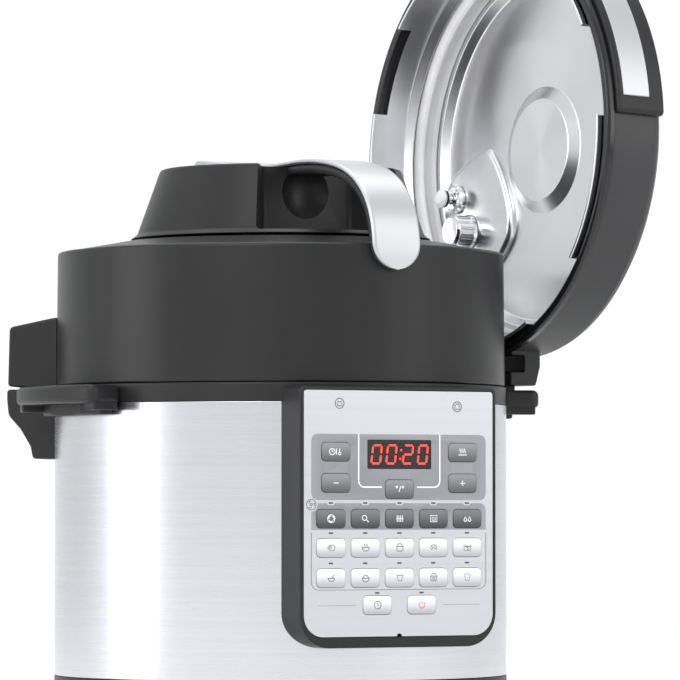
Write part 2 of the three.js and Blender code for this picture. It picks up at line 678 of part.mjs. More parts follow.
function fryerGuard() {
  const plate = turned([
    [0, GUARD_Z], [CHAMBER_R - 12, GUARD_Z], [CHAMBER_R - 1, GUARD_Z + 6], [CHAMBER_R - 1, GUARD_Z + 8],
    [CHAMBER_R - 12.6, GUARD_Z + 1.4], [0, GUARD_Z + 1.4],
  ]);
  const slots = [];
  for (let i = 0; i < 12; i += 1) {
    const slot = prism(roundedRect(26, 9, 4, 78, 0, 2), GUARD_Z - 1, GUARD_Z + 3);
    slots.push(turnedBy(slot, i * 30));
  }
  for (let i = 0; i < 8; i += 1) {
    const slot = prism(roundedRect(26, 8, 3.6, 38, 0, 2), GUARD_Z - 1, GUARD_Z + 3);
    slots.push(turnedBy(slot, i * 45));
  }
  return cut(plate, ...slots);
}

function airFan() {
  const hub = turned([
    [0, FAN_Z - 9], [9, FAN_Z - 9], [12, FAN_Z - 6], [12, FAN_Z + 3], [4, FAN_Z + 3],
    [4, CHAMBER_TOP_Z + 3 - GAP], [0, CHAMBER_TOP_Z + 3 - GAP],
  ], 24);
  const disk = ring(11, FAN_R, FAN_Z, FAN_Z + 1.4, 48);
  const blades = [];
  for (let i = 0; i < 8; i += 1) {
    const blade = box(22, FAN_R - 2, -0.8, 0.8, FAN_Z - 11, FAN_Z + 0.7);
    blade.rotateZ(rad(12));
    blades.push(turnedBy(blade, i * 45));
  }
  return join(hub, disk, ...blades);
}

// Upper half of the electrical connector, on the air-fryer lid.
function dockPlug() {
  const z0 = SEAM_Z + 0.5;
  const outline = [
    [DRUM_R - 20, z0], [DOCK_R - 0.6, z0], [DOCK_R - 1.6, z0 + 36], [DOCK_R - 4.5, z0 + 38.6],
    [DRUM_R + 2, z0 + 44], [DRUM_R - 20, z0 + 47],
  ];
  const body = prismY(outline, -DOCK_W / 2, DOCK_W / 2);
  const pins = [-8, 8].map((y) => box(DOCK_R - 15, DOCK_R - 13, y - 3, y + 3, z0 - 11, z0 + 2));
  return turnedBy(join(cut(body, disc(DRUM_R + GAP, SEAM_Z / 2, SEAM_Z + 110)), ...pins), DOCK_ANGLE);
}

// ---- pressure lid, built level with its lip at z = 0 and its top up ----
// Parked, the lid's own +x points down and its top faces +X.
function parkedToLevel(geometry) {
  geometry.translate(-PARK_X, 0, -PARK_Z);
  geometry.rotateY(rad(-90 - PARK_LEAN));
  return geometry;
}

function levelToParked(geometry) {
  geometry.rotateY(rad(90 + PARK_LEAN));
  geometry.rotateZ(rad(PARK_TURN));
  geometry.translate(PARK_X, 0, PARK_Z);
  return geometry;
}

// Block on the rim with the fin that stands in the handle's slot.
function finBlock() {
  const x = FIN_X;
  const foot = FIN_Z0 + 12.5;
  const outline = [
    [x - FIN_T / 2, FIN_Z0], [x + FIN_T / 2, FIN_Z0], [x + FIN_T / 2, foot], [x + 14, foot],
    [x + 17.5, foot + 12.5], [x + 17.5, foot + 23.5], [x + 8, foot + 36], [x - 5, foot + 36],
    [x - 5, foot + 20], [x + 5, foot + 20], [x + 5, foot + 9], [x - 6, foot + 9],
    [x - 6, foot], [x - FIN_T / 2, foot],
  ];
  const block = prismY(outline, -30, 30);
  const ears = [-1, 1].map((s) => {
    const y0 = s > 0 ? FIN_HALF_W : -40;
    return box(x - 20, x + 40, y0, y0 + 40 - FIN_HALF_W, FIN_Z0 - 7, foot);
  });
  return parkedToLevel(cut(block, ...ears));
}

const GRIP_A0 = 174; // raised grip on the side wall, and the silver inlay let into it
const GRIP_A1 = 265;
const GRIP_Z0 = 6;
const GRIP_Z1 = LID_DEPTH + 4.6;
const INLAY_A0 = 193;
const INLAY_A1 = 260.5;
const INLAY_Z0 = 10.3;
const INLAY_Z1 = 30.5;

// Outer surface of the cover from the back of its side wall to the middle of its top.
function coverBack(grow) {
  return [
    [LID_R + grow, LID_DEPTH], [LID_R - 2 + grow, LID_DEPTH + 4 + grow],
    [LID_R - 8 + grow, LID_DEPTH + 9.2 + grow], [LID_R - 30, LID_DEPTH + 20 + grow],
    [0, LID_CROWN + grow],
  ];
}

function pressureCover() {
  const inner = FLANGE_R + 1;
  const shell = turned([
    [inner, 0.5], [inner + 1.4, -0.4], [LID_LIP_R - 0.8, -0.4], [LID_LIP_R, 1], [LID_LIP_R - 0.4, 5],
    [LID_R + 0.6, 6.5], ...coverBack(0), [0, LID_CROWN - 4], [LID_R - 31, LID_DEPTH + 16.2],
    [LID_R - 12, LID_DEPTH + 7.4], [inner - 1.5, LID_DEPTH + 3.6], [inner, LID_DEPTH],
  ]);
  const g = GAP;
  const core = disc(LID_R - 1.5, -40, 100);
  const grip = prism(sector(LID_R - 3, LID_R + 5, GRIP_A0, GRIP_A1, 20), GRIP_Z0, GRIP_Z1);
  const seatAngle = (g / LID_R) * (180 / Math.PI);
  const seat = prism(
    sector(LID_R + 2.6, LID_R + 9, INLAY_A0 - seatAngle, INLAY_A1 + seatAngle, 16),
    INLAY_Z0 - g, INLAY_Z1 + g);
  const pinHole = moved(disc(FLOAT_R + g, 30, 80, 24), ...FLOAT_AT, 0);
  const stemHole = moved(disc(6, 30, 80, 24), ...FILTER_AT, 0);
  return cut(join(shell, cut(join(grip, finBlock()), core)), seat, pinHole, stemHole);
}

// The bar across the top of the pressure lid.
function pressureHandle() {
  const top = LID_CROWN;
  const low = LID_DEPTH + 6;
  const end = LID_R - 11.3;
  const bridge = prismY([
    [-end, low], [-end + 4, low + 18], [-end + 24, top + 18], [-60, top + 28],
    [60, top + 28], [end - 24, top + 18], [end - 4, low + 18], [end, low],
    [end - 28, low + 8], [end - 42, top + 6], [end - 76, top + 15],
    [-end + 76, top + 15], [-end + 42, top + 6], [-end + 28, low + 8],
  ], -22, 22);
  const clear = turned([[0, -30], [LID_LIP_R, -30], ...coverBack(GAP)]);
  return cut(bridge, clear);
}

function pressureInlay() {
  return prism(sector(LID_R + 2.9, LID_R + 5.8, INLAY_A0, INLAY_A1, 16), INLAY_Z0, INLAY_Z1);
}

const BOSS_R0 = 42.3;
const BOSS_R1 = 33.7;
const BOSS_H = 4.5;
const VALVE_DEPTH = INNER_DEPTH - 5;
const SEAL_TOP = VALVE_DEPTH - GAP - COLLAR_H - FLOAT_TRAVEL - GAP;
const FLOAT_R = 3.2;

// Raised platform under the two valves. The lid's own x runs down when it is parked.
const PLATFORM_AT = rotated(RING_R0 - 36.5, 60);
const FLOAT_AT = [PLATFORM_AT[0] - 13.4, PLATFORM_AT[1] + 22.9];
const FILTER_AT = [PLATFORM_AT[0] + 9.7, PLATFORM_AT[1] + 8.4];
const PLATFORM = [
  [-46, -8], [-38, -20], [-21, -32], [-1, -40], [16, -38], [33, -22], [41, -6], [33, 10],
  [14, 26], [-5, 34], [-20, 38], [-34, 22],
];

function platformAt(grow, z0, z1) {
  const outline = PLATFORM.map(([x, y]) => {
    const share = 1 + grow / Math.hypot(x, y);
    return [PLATFORM_AT[0] + share * x, PLATFORM_AT[1] + share * y];
  });
  return prism(outline, z0, z1);
}

function steelInnerLid() {
  const t = 1.5;
  const r = FLANGE_R;
  const d = INNER_DEPTH;
  const wall = RING_R1 + GAP; // the sealing ring's seat
  const shell = turned([
    [r - FLANGE_T, -FLANGE_DROP], [r, -FLANGE_DROP], [r, RING_Z0 - 6], [wall + 1.3, RING_Z0 - 4],
    [wall + 1.3, RING_Z1 - 1.5], [wall - 2, RING_Z1 + 1.6], [RING_R0 - 2, RING_Z1 + 2],
    [RING_R0 - 6, d + t], [BOSS_R0 + 0.8, d + t], [BOSS_R1 + 1, d - BOSS_H + t],
    [0, d - BOSS_H + t], [0, d - BOSS_H], [BOSS_R1, d - BOSS_H], [BOSS_R0, d],
    [RING_R0 - 7, d], [RING_R0 - 2.6, RING_Z1 + GAP], [wall - 2, RING_Z1 + GAP],
    [wall, RING_Z1 - 2.4], [wall, RING_Z0 - 0.6], [wall - 3, RING_Z0 - 1.4],
    [r - FLANGE_T, RING_Z0 - 7],
  ]);
  const notches = NOTCH_AT.map((a) => {
    const outline = sector(r - 8, r + 4, a - NOTCH_SPAN / 2, a + NOTCH_SPAN / 2, 4);
    return prism(outline, -FLANGE_DROP - 1, NOTCH_Z);
  });
  const lower = platformAt(-1, INNER_DEPTH - 2.5, INNER_DEPTH + 0.5);
  const upper = platformAt(-3.5, VALVE_DEPTH, INNER_DEPTH + 0.5);
  const holes = [
    moved(disc(5.2, 0, 80, 24), ...FLOAT_AT, 0), moved(disc(8.2, 0, 80, 24), ...FILTER_AT, 0),
  ];
  return cut(join(shell, lower, upper), ...notches, ...holes);
}

function sealingRing() {
  return turned([
    [RING_R0 + 2, RING_Z0], [RING_R1, RING_Z0], [RING_R1, RING_Z1 - 2.6], [RING_R1 - 2.2, RING_Z1],
    [RING_R0, RING_Z1], [RING_R0 + 3.2, RING_Z1 - 3], [RING_R0 + 3.2, RING_Z0 + 6],
    [RING_R0, RING_Z0 + 2.4],
  ]);
}

function steamFilter() {
  const z = VALVE_DEPTH - GAP;
  const cap = turned([
    [0, z - 15], [9, z - 15], [11, z - 13.4], [11.5, z - 2], [12.5, z], [8.2 - GAP, z],
    [8.2 - GAP, z + 8], [0, z + 8],
  ], 32);
  const slots = [];
  for (let i = 0; i < 12; i += 1) {
    slots.push(turnedBy(box(9.6, 14, -1.1, 1.1, z - 11.5, z - 3.5), i * 30 + 5));
  }
  return moved(cut(cap, ...slots), ...FILTER_AT, 0);
}

function floatCollar() {
  const z = VALVE_DEPTH - GAP;
  const bore = FLOAT_R + 0.4;
  const collar = turned([
    [bore, z - COLLAR_H], [7, z - COLLAR_H], [8, z - 2.8], [10, z - 1.8], [10, z], [bore, z],
  ], 32);
  return moved(collar, ...FLOAT_AT, 0);
}

// Float pin: rises through the lid when there is pressure.
function floatPin() {
  const pin = disc(FLOAT_R, SEAL_TOP + GAP, LID_CROWN - 1.5, 24);
  return moved(pin, ...FLOAT_AT, 0);
}

function floatSeal() {
  const z = SEAL_TOP;
  const cap = turned([[0, z - 6], [3.5, z - 6], [6.4, z - 4], [6.4, z - 1], [4, z], [0, z]], 24);
  return moved(cap, ...FLOAT_AT, 0);
}

function releaseKnob() {
  const z = LID_CROWN + 1.2;
  const skirt = turned([
    [0, z], [13, z], [14, z + 2], [12, z + 12], [9, z + 14], [0, z + 14],
  ], 32);
  const bar = box(-13, 13, -4, 4, z + 8, z + 18);
  return moved(join(skirt, bar), ...FILTER_AT, 0);
}

// ---- assembly ----
const DARK = 0x3c3c3e;
const STEEL = 0xb9b9be;
const SILVER = 0xc9c9ce;
const root = new THREE.Group();
root.name = "electric_pressure_cooker";

function add(name, geometry, color, roughness = 0.5, metalness = 0) {
  const clean = fromManifold(toManifold(geometry));
  const material = new THREE.MeshStandardMaterial({ color, roughness, metalness });
  material.name = `${name}_mat`;
  const mesh = new THREE.Mesh(clean, material);
  mesh.name = name;
  root.add(mesh);
}

add("base_pan", basePan(), DARK);
footPlaces().forEach(([x, y], i) => add(`foot_${i + 1}`, foot(x, y), 0x1c1c1c, 0.9));
add("steel_housing", steelHousing(), STEEL, 0.3, 1);
add("top_collar", topCollar(), DARK);
add("right_handle", carryHandle(), DARK);
add("left_handle", turnedBy(carryHandle(), 180), DARK);
add("panel_bezel", panelBezel(), DARK);
add("panel_fascia", panelFascia(), 0x4a4a4c);
add("display_module", displayModule(), 0x0a0a0a, 0.1);
add("inner_housing", innerHousing(), STEEL, 0.4, 1);
add("heating_plate", heatingPlate(), 0x8e8e90, 0.5, 0.8);
add("temperature_sensor", temperatureSensor(), SILVER, 0.3, 1);
add("power_inlet", powerInlet(), 0x222222);
add("dock_socket", dockSocket(), DARK);
add("inner_pot", innerPot(), STEEL, 0.25, 1);
for (const [name, x, z] of keyPlaces()) {
  add(name, keyCap(x, z), z > 115 && !name.startsWith("key_b") ? 0x66666a : 0xd8d8dc);
}
add("fryer_drum", fryerDrum(), DARK);
add("fryer_tower", fryerTower(), DARK);
add("fryer_handle_strap", fryerStrap(), SILVER, 0.35, 0.8);
add("fryer_handle_liner", fryerStrapLiner(), 0x2a2a2c);
add("fan_motor", fanMotor(), 0x888888, 0.5, 0.8);
add("chamber_liner", chamberLiner(), STEEL, 0.3, 1);
add("heating_coil", heatingCoil(), 0x4a4644, 0.5, 0.8);
add("coil_guard", fryerGuard(), STEEL, 0.3, 1);
add("air_fan", airFan(), STEEL, 0.35, 1);
add("dock_plug", dockPlug(), DARK);
const lidPieces = [
  ["pressure_cover", pressureCover(), DARK, 0.4, 0],
  ["pressure_inner_lid", steelInnerLid(), SILVER, 0.25, 1],
  ["sealing_ring", sealingRing(), 0xe8e8e6, 0.5, 0],
  ["pressure_handle", pressureHandle(), DARK, 0.5, 0],
  ["pressure_handle_inlay", pressureInlay(), SILVER, 0.35, 0.8],
  ["steam_filter", steamFilter(), 0xd0d0d4, 0.15, 1],
  ["float_collar", floatCollar(), 0xd0d0d4, 0.15, 1],
  ["float_pin", floatPin(), 0xc8c8cc, 0.2, 1],
  ["float_seal", floatSeal(), 0xf4f4f4, 0.5, 0],
  ["release_knob", releaseKnob(), 0x2a2a2c, 0.5, 0],
];
for (const [name, geometry, color, roughness, metalness] of lidPieces) {
  add(name, levelToParked(geometry), color, roughness, metalness);
}

export default root;
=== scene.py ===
"""Looks of a two-lid electric pressure cooker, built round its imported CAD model.

Lengths inside this script are millimetres in the model's frame (+Z up, the control panel
faces -Y) until make_mesh() turns them into metres. Places come from the CAD boxes.
"""

import math

import bpy
import bmesh
from mathutils import Matrix, Vector


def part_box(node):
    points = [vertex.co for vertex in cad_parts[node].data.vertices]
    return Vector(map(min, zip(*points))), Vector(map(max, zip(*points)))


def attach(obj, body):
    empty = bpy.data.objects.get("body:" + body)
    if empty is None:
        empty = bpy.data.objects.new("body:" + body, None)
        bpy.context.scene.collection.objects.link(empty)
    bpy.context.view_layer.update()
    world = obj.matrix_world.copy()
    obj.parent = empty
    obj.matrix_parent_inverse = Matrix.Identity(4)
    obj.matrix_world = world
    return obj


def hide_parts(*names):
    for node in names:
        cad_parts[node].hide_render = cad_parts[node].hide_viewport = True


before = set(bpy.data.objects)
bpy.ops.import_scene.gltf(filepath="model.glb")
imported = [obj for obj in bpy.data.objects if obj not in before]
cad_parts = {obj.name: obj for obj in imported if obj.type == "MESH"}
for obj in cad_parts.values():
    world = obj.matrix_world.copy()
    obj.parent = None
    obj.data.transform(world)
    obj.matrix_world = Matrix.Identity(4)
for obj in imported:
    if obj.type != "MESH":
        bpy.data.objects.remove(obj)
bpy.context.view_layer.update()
MM = 0.001


def box(node):
    """Lowest and highest corner of a CAD node, in millimetres."""
    low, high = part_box(node)
    return low / MM, high / MM


# ---- camera: long lens, a little left of the panel, slightly above its middle ----
CAMERA_AZIMUTH = -29.0
CAMERA_DISTANCE = 3.216
CAMERA_HEIGHT = 0.128
LENS = 264.7
PAN = 0.68
PITCH = 1.95


def make_camera():
    data = bpy.data.cameras.new("camera")
    data.lens = LENS
    data.sensor_width = 36.0
    data.clip_start = 0.05
    data.clip_end = 60.0
    camera = bpy.data.objects.new("camera", data)
    bpy.context.scene.collection.objects.link(camera)
    a = math.radians(CAMERA_AZIMUTH)
    camera.location = (
        CAMERA_DISTANCE * math.sin(a),
        -CAMERA_DISTANCE * math.cos(a),
        CAMERA_HEIGHT,
    )
    heading = a - math.radians(PAN)
    camera.rotation_euler = (math.radians(90 + PITCH), 0, heading)
    bpy.context.scene.camera = camera


make_camera()


# ---- outlines ----
def arc(cx, cy, r, a0, a1, steps=8):
    out = []
    for i in range(steps + 1):
        a = math.radians(a0 + (a1 - a0) * i / steps)
        out.append((cx + r * math.cos(a), cy + r * math.sin(a)))
    return out


def softened(points, steps=5, closed=True):
    """Outline whose third values are corner radii: each such corner becomes an arc."""
    out = []
    n = len(points)
    for i, p in enumerate(points):
        r = p[2] if len(p) > 2 else 0.0
        here = Vector(p[:2])
        if r <= 0 or (not closed and i in (0, n - 1)):
            out.append((here.x, here.y))
            continue
        before = Vector(points[i - 1][:2]) - here
        after = Vector(points[(i + 1) % n][:2]) - here
        half = before.angle(after) / 2
        reach = min(r / math.tan(half), before.length * 0.49, after.length * 0.49)
        start = here + before.normalized() * reach
        end = here + after.normalized() * reach
        for k in range(steps + 1):
            t = k / steps
            q = start * (1 - t) ** 2 + here * 2 * t * (1 - t) + end * t * t
            out.append((q.x, q.y))
    return out


def rounded_rect(w, h, r, cx=0.0, cy=0.0, steps=5):
    out = []
    for sx, sy, a in ((1, 1, 0), (-1, 1, 90), (-1, -1, 180), (1, -1, 270)):
        out += arc(cx + sx * (w / 2 - r), cy + sy * (h / 2 - r), r, a, a + 90, steps)
    return out


def sector(r0, r1, a0, a1, steps=24, r=0.0):
    """Part of a flat ring; its four corners are softened by r."""
    outer = arc(0, 0, r1, a0, a1, steps)
    inner = arc(0, 0, r0, a1, a0, steps)
    if not r:
        return outer + inner
    out = []
    for loop in (outer, inner):
        ends = (Vector(loop[0]), Vector(loop[-1]))
        middle = [q for q in loop[1:-1] if min((Vector(q) - e).length for e in ends) > 2.1 * r]
        out += [(*loop[0], r), *middle, (*loop[-1], r)]
    return softened(out, 5)


def inset(outline, amount):
    """Closed outline moved inwards by amount along its corner normals."""
    if not amount:
        return list(outline)
    area = sum(
        outline[i - 1][0] * outline[i][1] - outline[i][0] * outline[i - 1][1]
        for i in range(len(outline))
    )
    side = 1 if area > 0 else -1
    out = []
    n = len(outline)
    for i in range(n):
        p = Vector(outline[i])
        a = p - Vector(outline[i - 1])
        b = Vector(outline[(i + 1) % n]) - p
        if a.length < 1e-9:
            a = b
        if b.length < 1e-9:
            b = a
        na = Vector((-a.y, a.x)).normalized() * side
        nb = Vector((-b.y, b.x)).normalized() * side
        mid = na + nb
        mid = mid.normalized() if mid.length > 1e-6 else na
        scale = min(1.0 / max(mid.dot(na), 0.35), 2.0)
        q = p + mid * amount * scale
        out.append((q.x, q.y))
    return out


# ---- meshes ----
TO_Y = Matrix(((1, 0, 0, 0), (0, 0, 1, 0), (0, 1, 0, 0), (0, 0, 0, 1)))  # outline in x and z


def make_mesh(name, verts, faces, matrix=None, sharp=32):
    mesh = bpy.data.meshes.new(name)
    place = matrix or Matrix.Identity(4)
    mesh.from_pydata([tuple((place @ Vector(v)) * MM) for v in verts], [], faces)
    bm = bmesh.new()
    bm.from_mesh(mesh)
    bmesh.ops.remove_doubles(bm, verts=bm.verts, dist=1e-7)
    bmesh.ops.recalc_face_normals(bm, faces=bm.faces)
    bm.to_mesh(mesh)
    bm.free()
    return finish_mesh(name, mesh, sharp)


def finish_mesh(name, mesh, sharp):
    mesh.shade_smooth()
    mesh.set_sharp_from_angle(angle=math.radians(sharp))
    obj = bpy.data.objects.new(name, mesh)
    bpy.context.scene.collection.objects.link(obj)
    return obj


def lathe(name, profile, matrix=None, seg=144, sharp=32):
    """A closed outline of (radius, height) turned about the Z axis."""
    verts, rings, faces = [], [], []
    for r, z in profile:
        if r < 1e-6:
            rings.append([len(verts)] * seg)
            verts.append((0, 0, z))
            continue
        start = len(verts)
        for k in range(seg):
            a = 2 * math.pi * k / seg
            verts.append((r * math.cos(a), r * math.sin(a), z))
        rings.append(list(range(start, start + seg)))
    on_axis = profile[0][0] < 1e-6 and profile[-1][0] < 1e-6
    for i in range(len(rings) - (1 if on_axis else 0)):
        a, b = rings[i], rings[(i + 1) % len(rings)]
        for k in range(seg):
            m = (k + 1) % seg
            face = []
            for v in (a[k], a[m], b[m], b[k]):
                if v not in face:
                    face.append(v)
            if len(face) > 2:
                faces.append(face)
    return make_mesh(name, verts, faces, matrix, sharp)


def slab(name, outline, z0, z1, edge=0.0, matrix=None, edge_low=None, steps=3, sharp=32):
    """A flat outline given thickness, with rounded upper and lower edges."""
    low = edge if edge_low is None else edge_low
    levels = []
    for k in range(steps + 1):
        a = math.radians(90 * k / steps)
        levels.append((low * (1 - math.sin(a)), z0 + low * (1 - math.cos(a))))
    for k in range(steps, -1, -1):
        a = math.radians(90 * k / steps)
        levels.append((edge * (1 - math.sin(a)), z1 - edge * (1 - math.cos(a))))
    if not low:
        levels = levels[steps:]
    if not edge:
        levels = levels[: len(levels) - steps]
    n = len(outline)
    verts, faces = [], []
    for amount, z in levels:
        verts += [(x, y, z) for x, y in inset(outline, amount)]
    for i in range(len(levels) - 1):
        for k in range(n):
            m = (k + 1) % n
            faces.append((i * n + k, i * n + m, (i + 1) * n + m, (i + 1) * n + k))
    faces.append(tuple(range(n)))
    faces.append(tuple(reversed(range((len(levels) - 1) * n, len(levels) * n))))
    return make_mesh(name, verts, faces, matrix, sharp)


def loft(name, loops, matrix=None, sharp=32):
    """A skin through closed loops of equal length, closed at both ends."""
    n = len(loops[0])
    verts = [p for loop in loops for p in loop]
    faces = []
    for i in range(len(loops) - 1):
        for k in range(n):
            m = (k + 1) % n
            faces.append((i * n + k, i * n + m, (i + 1) * n + m, (i + 1) * n + k))
    faces.append(tuple(range(n)))
    faces.append(tuple(range((len(loops) - 1) * n, len(loops) * n)))
    return make_mesh(name, verts, faces, matrix, sharp)


def shape(obj, others, how, sharp=32):
    """obj cut by or joined with the others, which are used up."""
    name = obj.name
    for other in others:
        modifier = obj.modifiers.new(how, "BOOLEAN")
        modifier.operation = how
        modifier.solver = "EXACT"
        modifier.object = other
    depsgraph = bpy.context.evaluated_depsgraph_get()
    mesh = bpy.data.meshes.new_from_object(obj.evaluated_get(depsgraph))
    for used in [obj, *others]:
        bpy.data.objects.remove(used)
    bm = bmesh.new()
    bm.from_mesh(mesh)
    bmesh.ops.remove_doubles(bm, verts=bm.verts, dist=2e-6)
    bmesh.ops.dissolve_degenerate(bm, edges=bm.edges, dist=1e-6)
    bm.to_mesh(mesh)
    bm.free()
    result = finish_mesh(name, mesh, sharp)
    result.name = name
    return result


def cut(obj, *others, sharp=32):
    return shape(obj, others, "DIFFERENCE", sharp)


def join(obj, *others, sharp=32):
    return shape(obj, others, "UNION", sharp)


def block(x0, x1, y0, y1, z0, z1, edge=0.0, matrix=None, name="block"):
    outline = rounded_rect(x1 - x0, y1 - y0, max(1.6 * edge, 0.01), (x0 + x1) / 2, (y0 + y1) / 2, 3)
    return slab(name, outline, z0, z1, edge, matrix)


def rod(name, points, r, sides=16, matrix=None):
    """A round bar along points, with rounded ends."""
    path = [Vector(p) for p in points]
    loops = []
    up = Vector((0, 0, 1))
    for i, p in enumerate(path):
        d = (path[min(i + 1, len(path) - 1)] - path[max(i - 1, 0)]).normalized()
        side = d.cross(up).normalized() if abs(d.dot(up)) < 0.99 else Vector((1, 0, 0))
        lift = side.cross(d)
        ends = [(0.0, r)]
        if i == 0:
            ends = [(-r * 0.9, r * 0.45), (-r * 0.5, r * 0.86), (0.0, r)]
        if i == len(path) - 1:
            ends = [(0.0, r), (r * 0.5, r * 0.86), (r * 0.9, r * 0.45)]
        for along, rr in ends:
            loop = []
            for k in range(sides):
                a = 2 * math.pi * k / sides
                q = p + d * along + side * (rr * math.cos(a)) + lift * (rr * math.sin(a))
                loop.append(tuple(q))
            loops.append(loop)
    return loft(name, loops, matrix)


def ribbon(name, lines, width, depth, matrix=None):
    """Thin raised strokes along flat lines, for marks printed on a surface."""
    verts, faces = [], []
    for line in lines:
        closed = len(line) > 2 and line[0] == line[-1]
        pts = [Vector(p) for p in (line[:-1] if closed else line)]
        n = len(pts)
        base = len(verts)
        for i, p in enumerate(pts):
            a = pts[i - 1] if closed or i else p
            b = pts[(i + 1) % n] if closed or i < n - 1 else p
            d = (b - a).normalized()
            side = Vector((-d.y, d.x)) * width / 2
            for q, z in ((p - side, 0), (p + side, 0), (p + side, depth), (p - side, depth)):
                verts.append((q.x, q.y, z))
        for i in range(n if closed else n - 1):
            u, v = base + 4 * i, base + 4 * ((i + 1) % n)
            for k in range(4):
                m = (k + 1) % 4
                faces.append((u + k, u + m, v + m, v + k))
        if not closed:
            faces.append((base, base + 1, base + 2, base + 3))
            last = base + 4 * (n - 1)
            faces.append((last, last + 1, last + 2, last + 3))
    return make_mesh(name, verts, faces, matrix)


# ---- materials ----
class Nodes:
    """A material's node tree with the few calls that the recipes below need."""

    def __init__(self, name):
        self.material = bpy.data.materials.new(name)
        self.material.use_nodes = True
        self.tree = self.material.node_tree
        self.shader = self.tree.nodes["Principled BSDF"]
        self.coords = self.add("ShaderNodeTexCoord").outputs["Object"]

    def add(self, kind, **values):
        node = self.tree.nodes.new(kind)
        for key, value in values.items():
            if key in node.inputs:
                node.inputs[key].default_value = value
            else:
                setattr(node, key, value)
        return node

    def link(self, output, target):
        self.tree.links.new(output, target)

    def mapped(self, scale, rotation=(0, 0, 0), place=(0, 0, 0)):
        node = self.add("ShaderNodeMapping")
        node.inputs["Scale"].default_value = scale
        node.inputs["Rotation"].default_value = rotation
        node.inputs["Location"].default_value = place
        self.link(self.coords, node.inputs["Vector"])
        return node.outputs["Vector"]

    def noise(self, vector, scale, detail=3.0, roughness=0.55):
        node = self.add("ShaderNodeTexNoise", Scale=scale, Detail=detail, Roughness=roughness)
        self.link(vector, node.inputs["Vector"])
        return node.outputs["Fac"]

    def ramp(self, factor, stops):
        node = self.add("ShaderNodeValToRGB")
        elements = node.color_ramp.elements
        for i, (place, colour) in enumerate(stops):
            element = elements[i] if i < 2 else elements.new(place)
            element.position = place
            element.color = (*colour, 1) if len(colour) == 3 else colour
        self.link(factor, node.inputs["Fac"])
        return node.outputs["Color"]

    def spread(self, factor, low, high):
        node = self.add("ShaderNodeMapRange")
        node.inputs["To Min"].default_value = low
        node.inputs["To Max"].default_value = high
        self.link(factor, node.inputs["Value"])
        return node.outputs["Result"]

    def bump(self, height, strength, distance, under=None):
        node = self.add("ShaderNodeBump")
        node.inputs["Strength"].default_value = strength
        node.inputs["Distance"].default_value = distance
        self.link(height, node.inputs["Height"])
        if under is not None:
            self.link(under, node.inputs["Normal"])
        return node.outputs["Normal"]

    def set(self, **values):
        for key, value in values.items():
            socket = self.shader.inputs[key.replace("_", " ")]
            socket.default_value = value
        return self


def shade(colour, k):
    return tuple(min(1.0, c * k) for c in colour)


def plastic(name, colour, rough=0.42, grain=0.05, spread=0.12, coat=0.0, scale=1500.0, gleam=0.27):
    """Moulded plastic: a fine etched grain, faint colour drift, and a painted highlight that makes its sharp
    edges lighter.
    """
    m = Nodes(name)
    drift = m.noise(m.coords, 9.0, 4.0)
    fine = m.noise(m.coords, scale, 2.0)
    base = m.ramp(drift, [(0.3, shade(colour, 1 - spread)), (0.7, shade(colour, 1 + spread))])
    # painted highlight: where the surface is pointy, at sharp outer edges, the base colour mixes towards a
    # lighter shade of itself
    edge = m.add("ShaderNodeNewGeometry").outputs["Pointiness"]
    edge_highlight = m.ramp(edge, [(0.5, (0, 0, 0)), (0.62, (1, 1, 1))])
    mix = m.add("ShaderNodeMix", data_type="RGBA")
    m.link(edge_highlight, mix.inputs["Factor"])
    m.link(base, mix.inputs["A"])
    mix.inputs["B"].default_value = (*shade(colour, 1.5), 1)
    m.link(mix.outputs["Result"], m.shader.inputs["Base Color"])
    m.link(m.spread(fine, rough - 0.06, rough + 0.08), m.shader.inputs["Roughness"])
    m.link(m.bump(fine, grain, 0.0002), m.shader.inputs["Normal"])
    m.set(Coat_Weight=coat, Coat_Roughness=0.2, Specular_IOR_Level=gleam)
    return m.material


def brushed(name, colour, rough=0.26, along=(12.0, 12.0, 2600.0), grain=0.03, tangent="Z"):
    """Brushed metal: long fine scratches, so the highlight spreads across them."""
    m = Nodes(name)
    streaks = m.noise(m.mapped(along), 1.0, 3.0, 0.7)
    coarse = m.noise(m.mapped(tuple(k / 6 for k in along)), 1.0, 2.0)
    stops = [(0.25, shade(colour, 0.97)), (0.75, shade(colour, 1.02))]
    m.link(m.ramp(coarse, stops), m.shader.inputs["Base Color"])
    m.link(m.spread(streaks, rough - 0.04, rough + 0.05), m.shader.inputs["Roughness"])
    m.link(m.bump(streaks, grain, 0.0001), m.shader.inputs["Normal"])
    m.set(Metallic=1.0, Anisotropic=0.55)
    turn = m.add("ShaderNodeTangent", direction_type="RADIAL", axis=tangent)
    m.link(turn.outputs["Tangent"], m.shader.inputs["Tangent"])
    return m.material


def metal(name, colour, rough=0.16, grain=0.02, scale=900.0):
    """Smooth pressed or plated metal with faint cloudiness."""
    m = Nodes(name)
    cloud = m.noise(m.coords, 26.0, 4.0)
    fine = m.noise(m.coords, scale, 2.0)
    stops = [(0.3, shade(colour, 0.94)), (0.7, shade(colour, 1.03))]
    m.link(m.ramp(cloud, stops), m.shader.inputs["Base Color"])
    m.link(m.spread(cloud, rough - 0.05, rough + 0.06), m.shader.inputs["Roughness"])
    m.link(m.bump(fine, grain, 0.0001), m.shader.inputs["Normal"])
    m.set(Metallic=1.0)
    return m.material


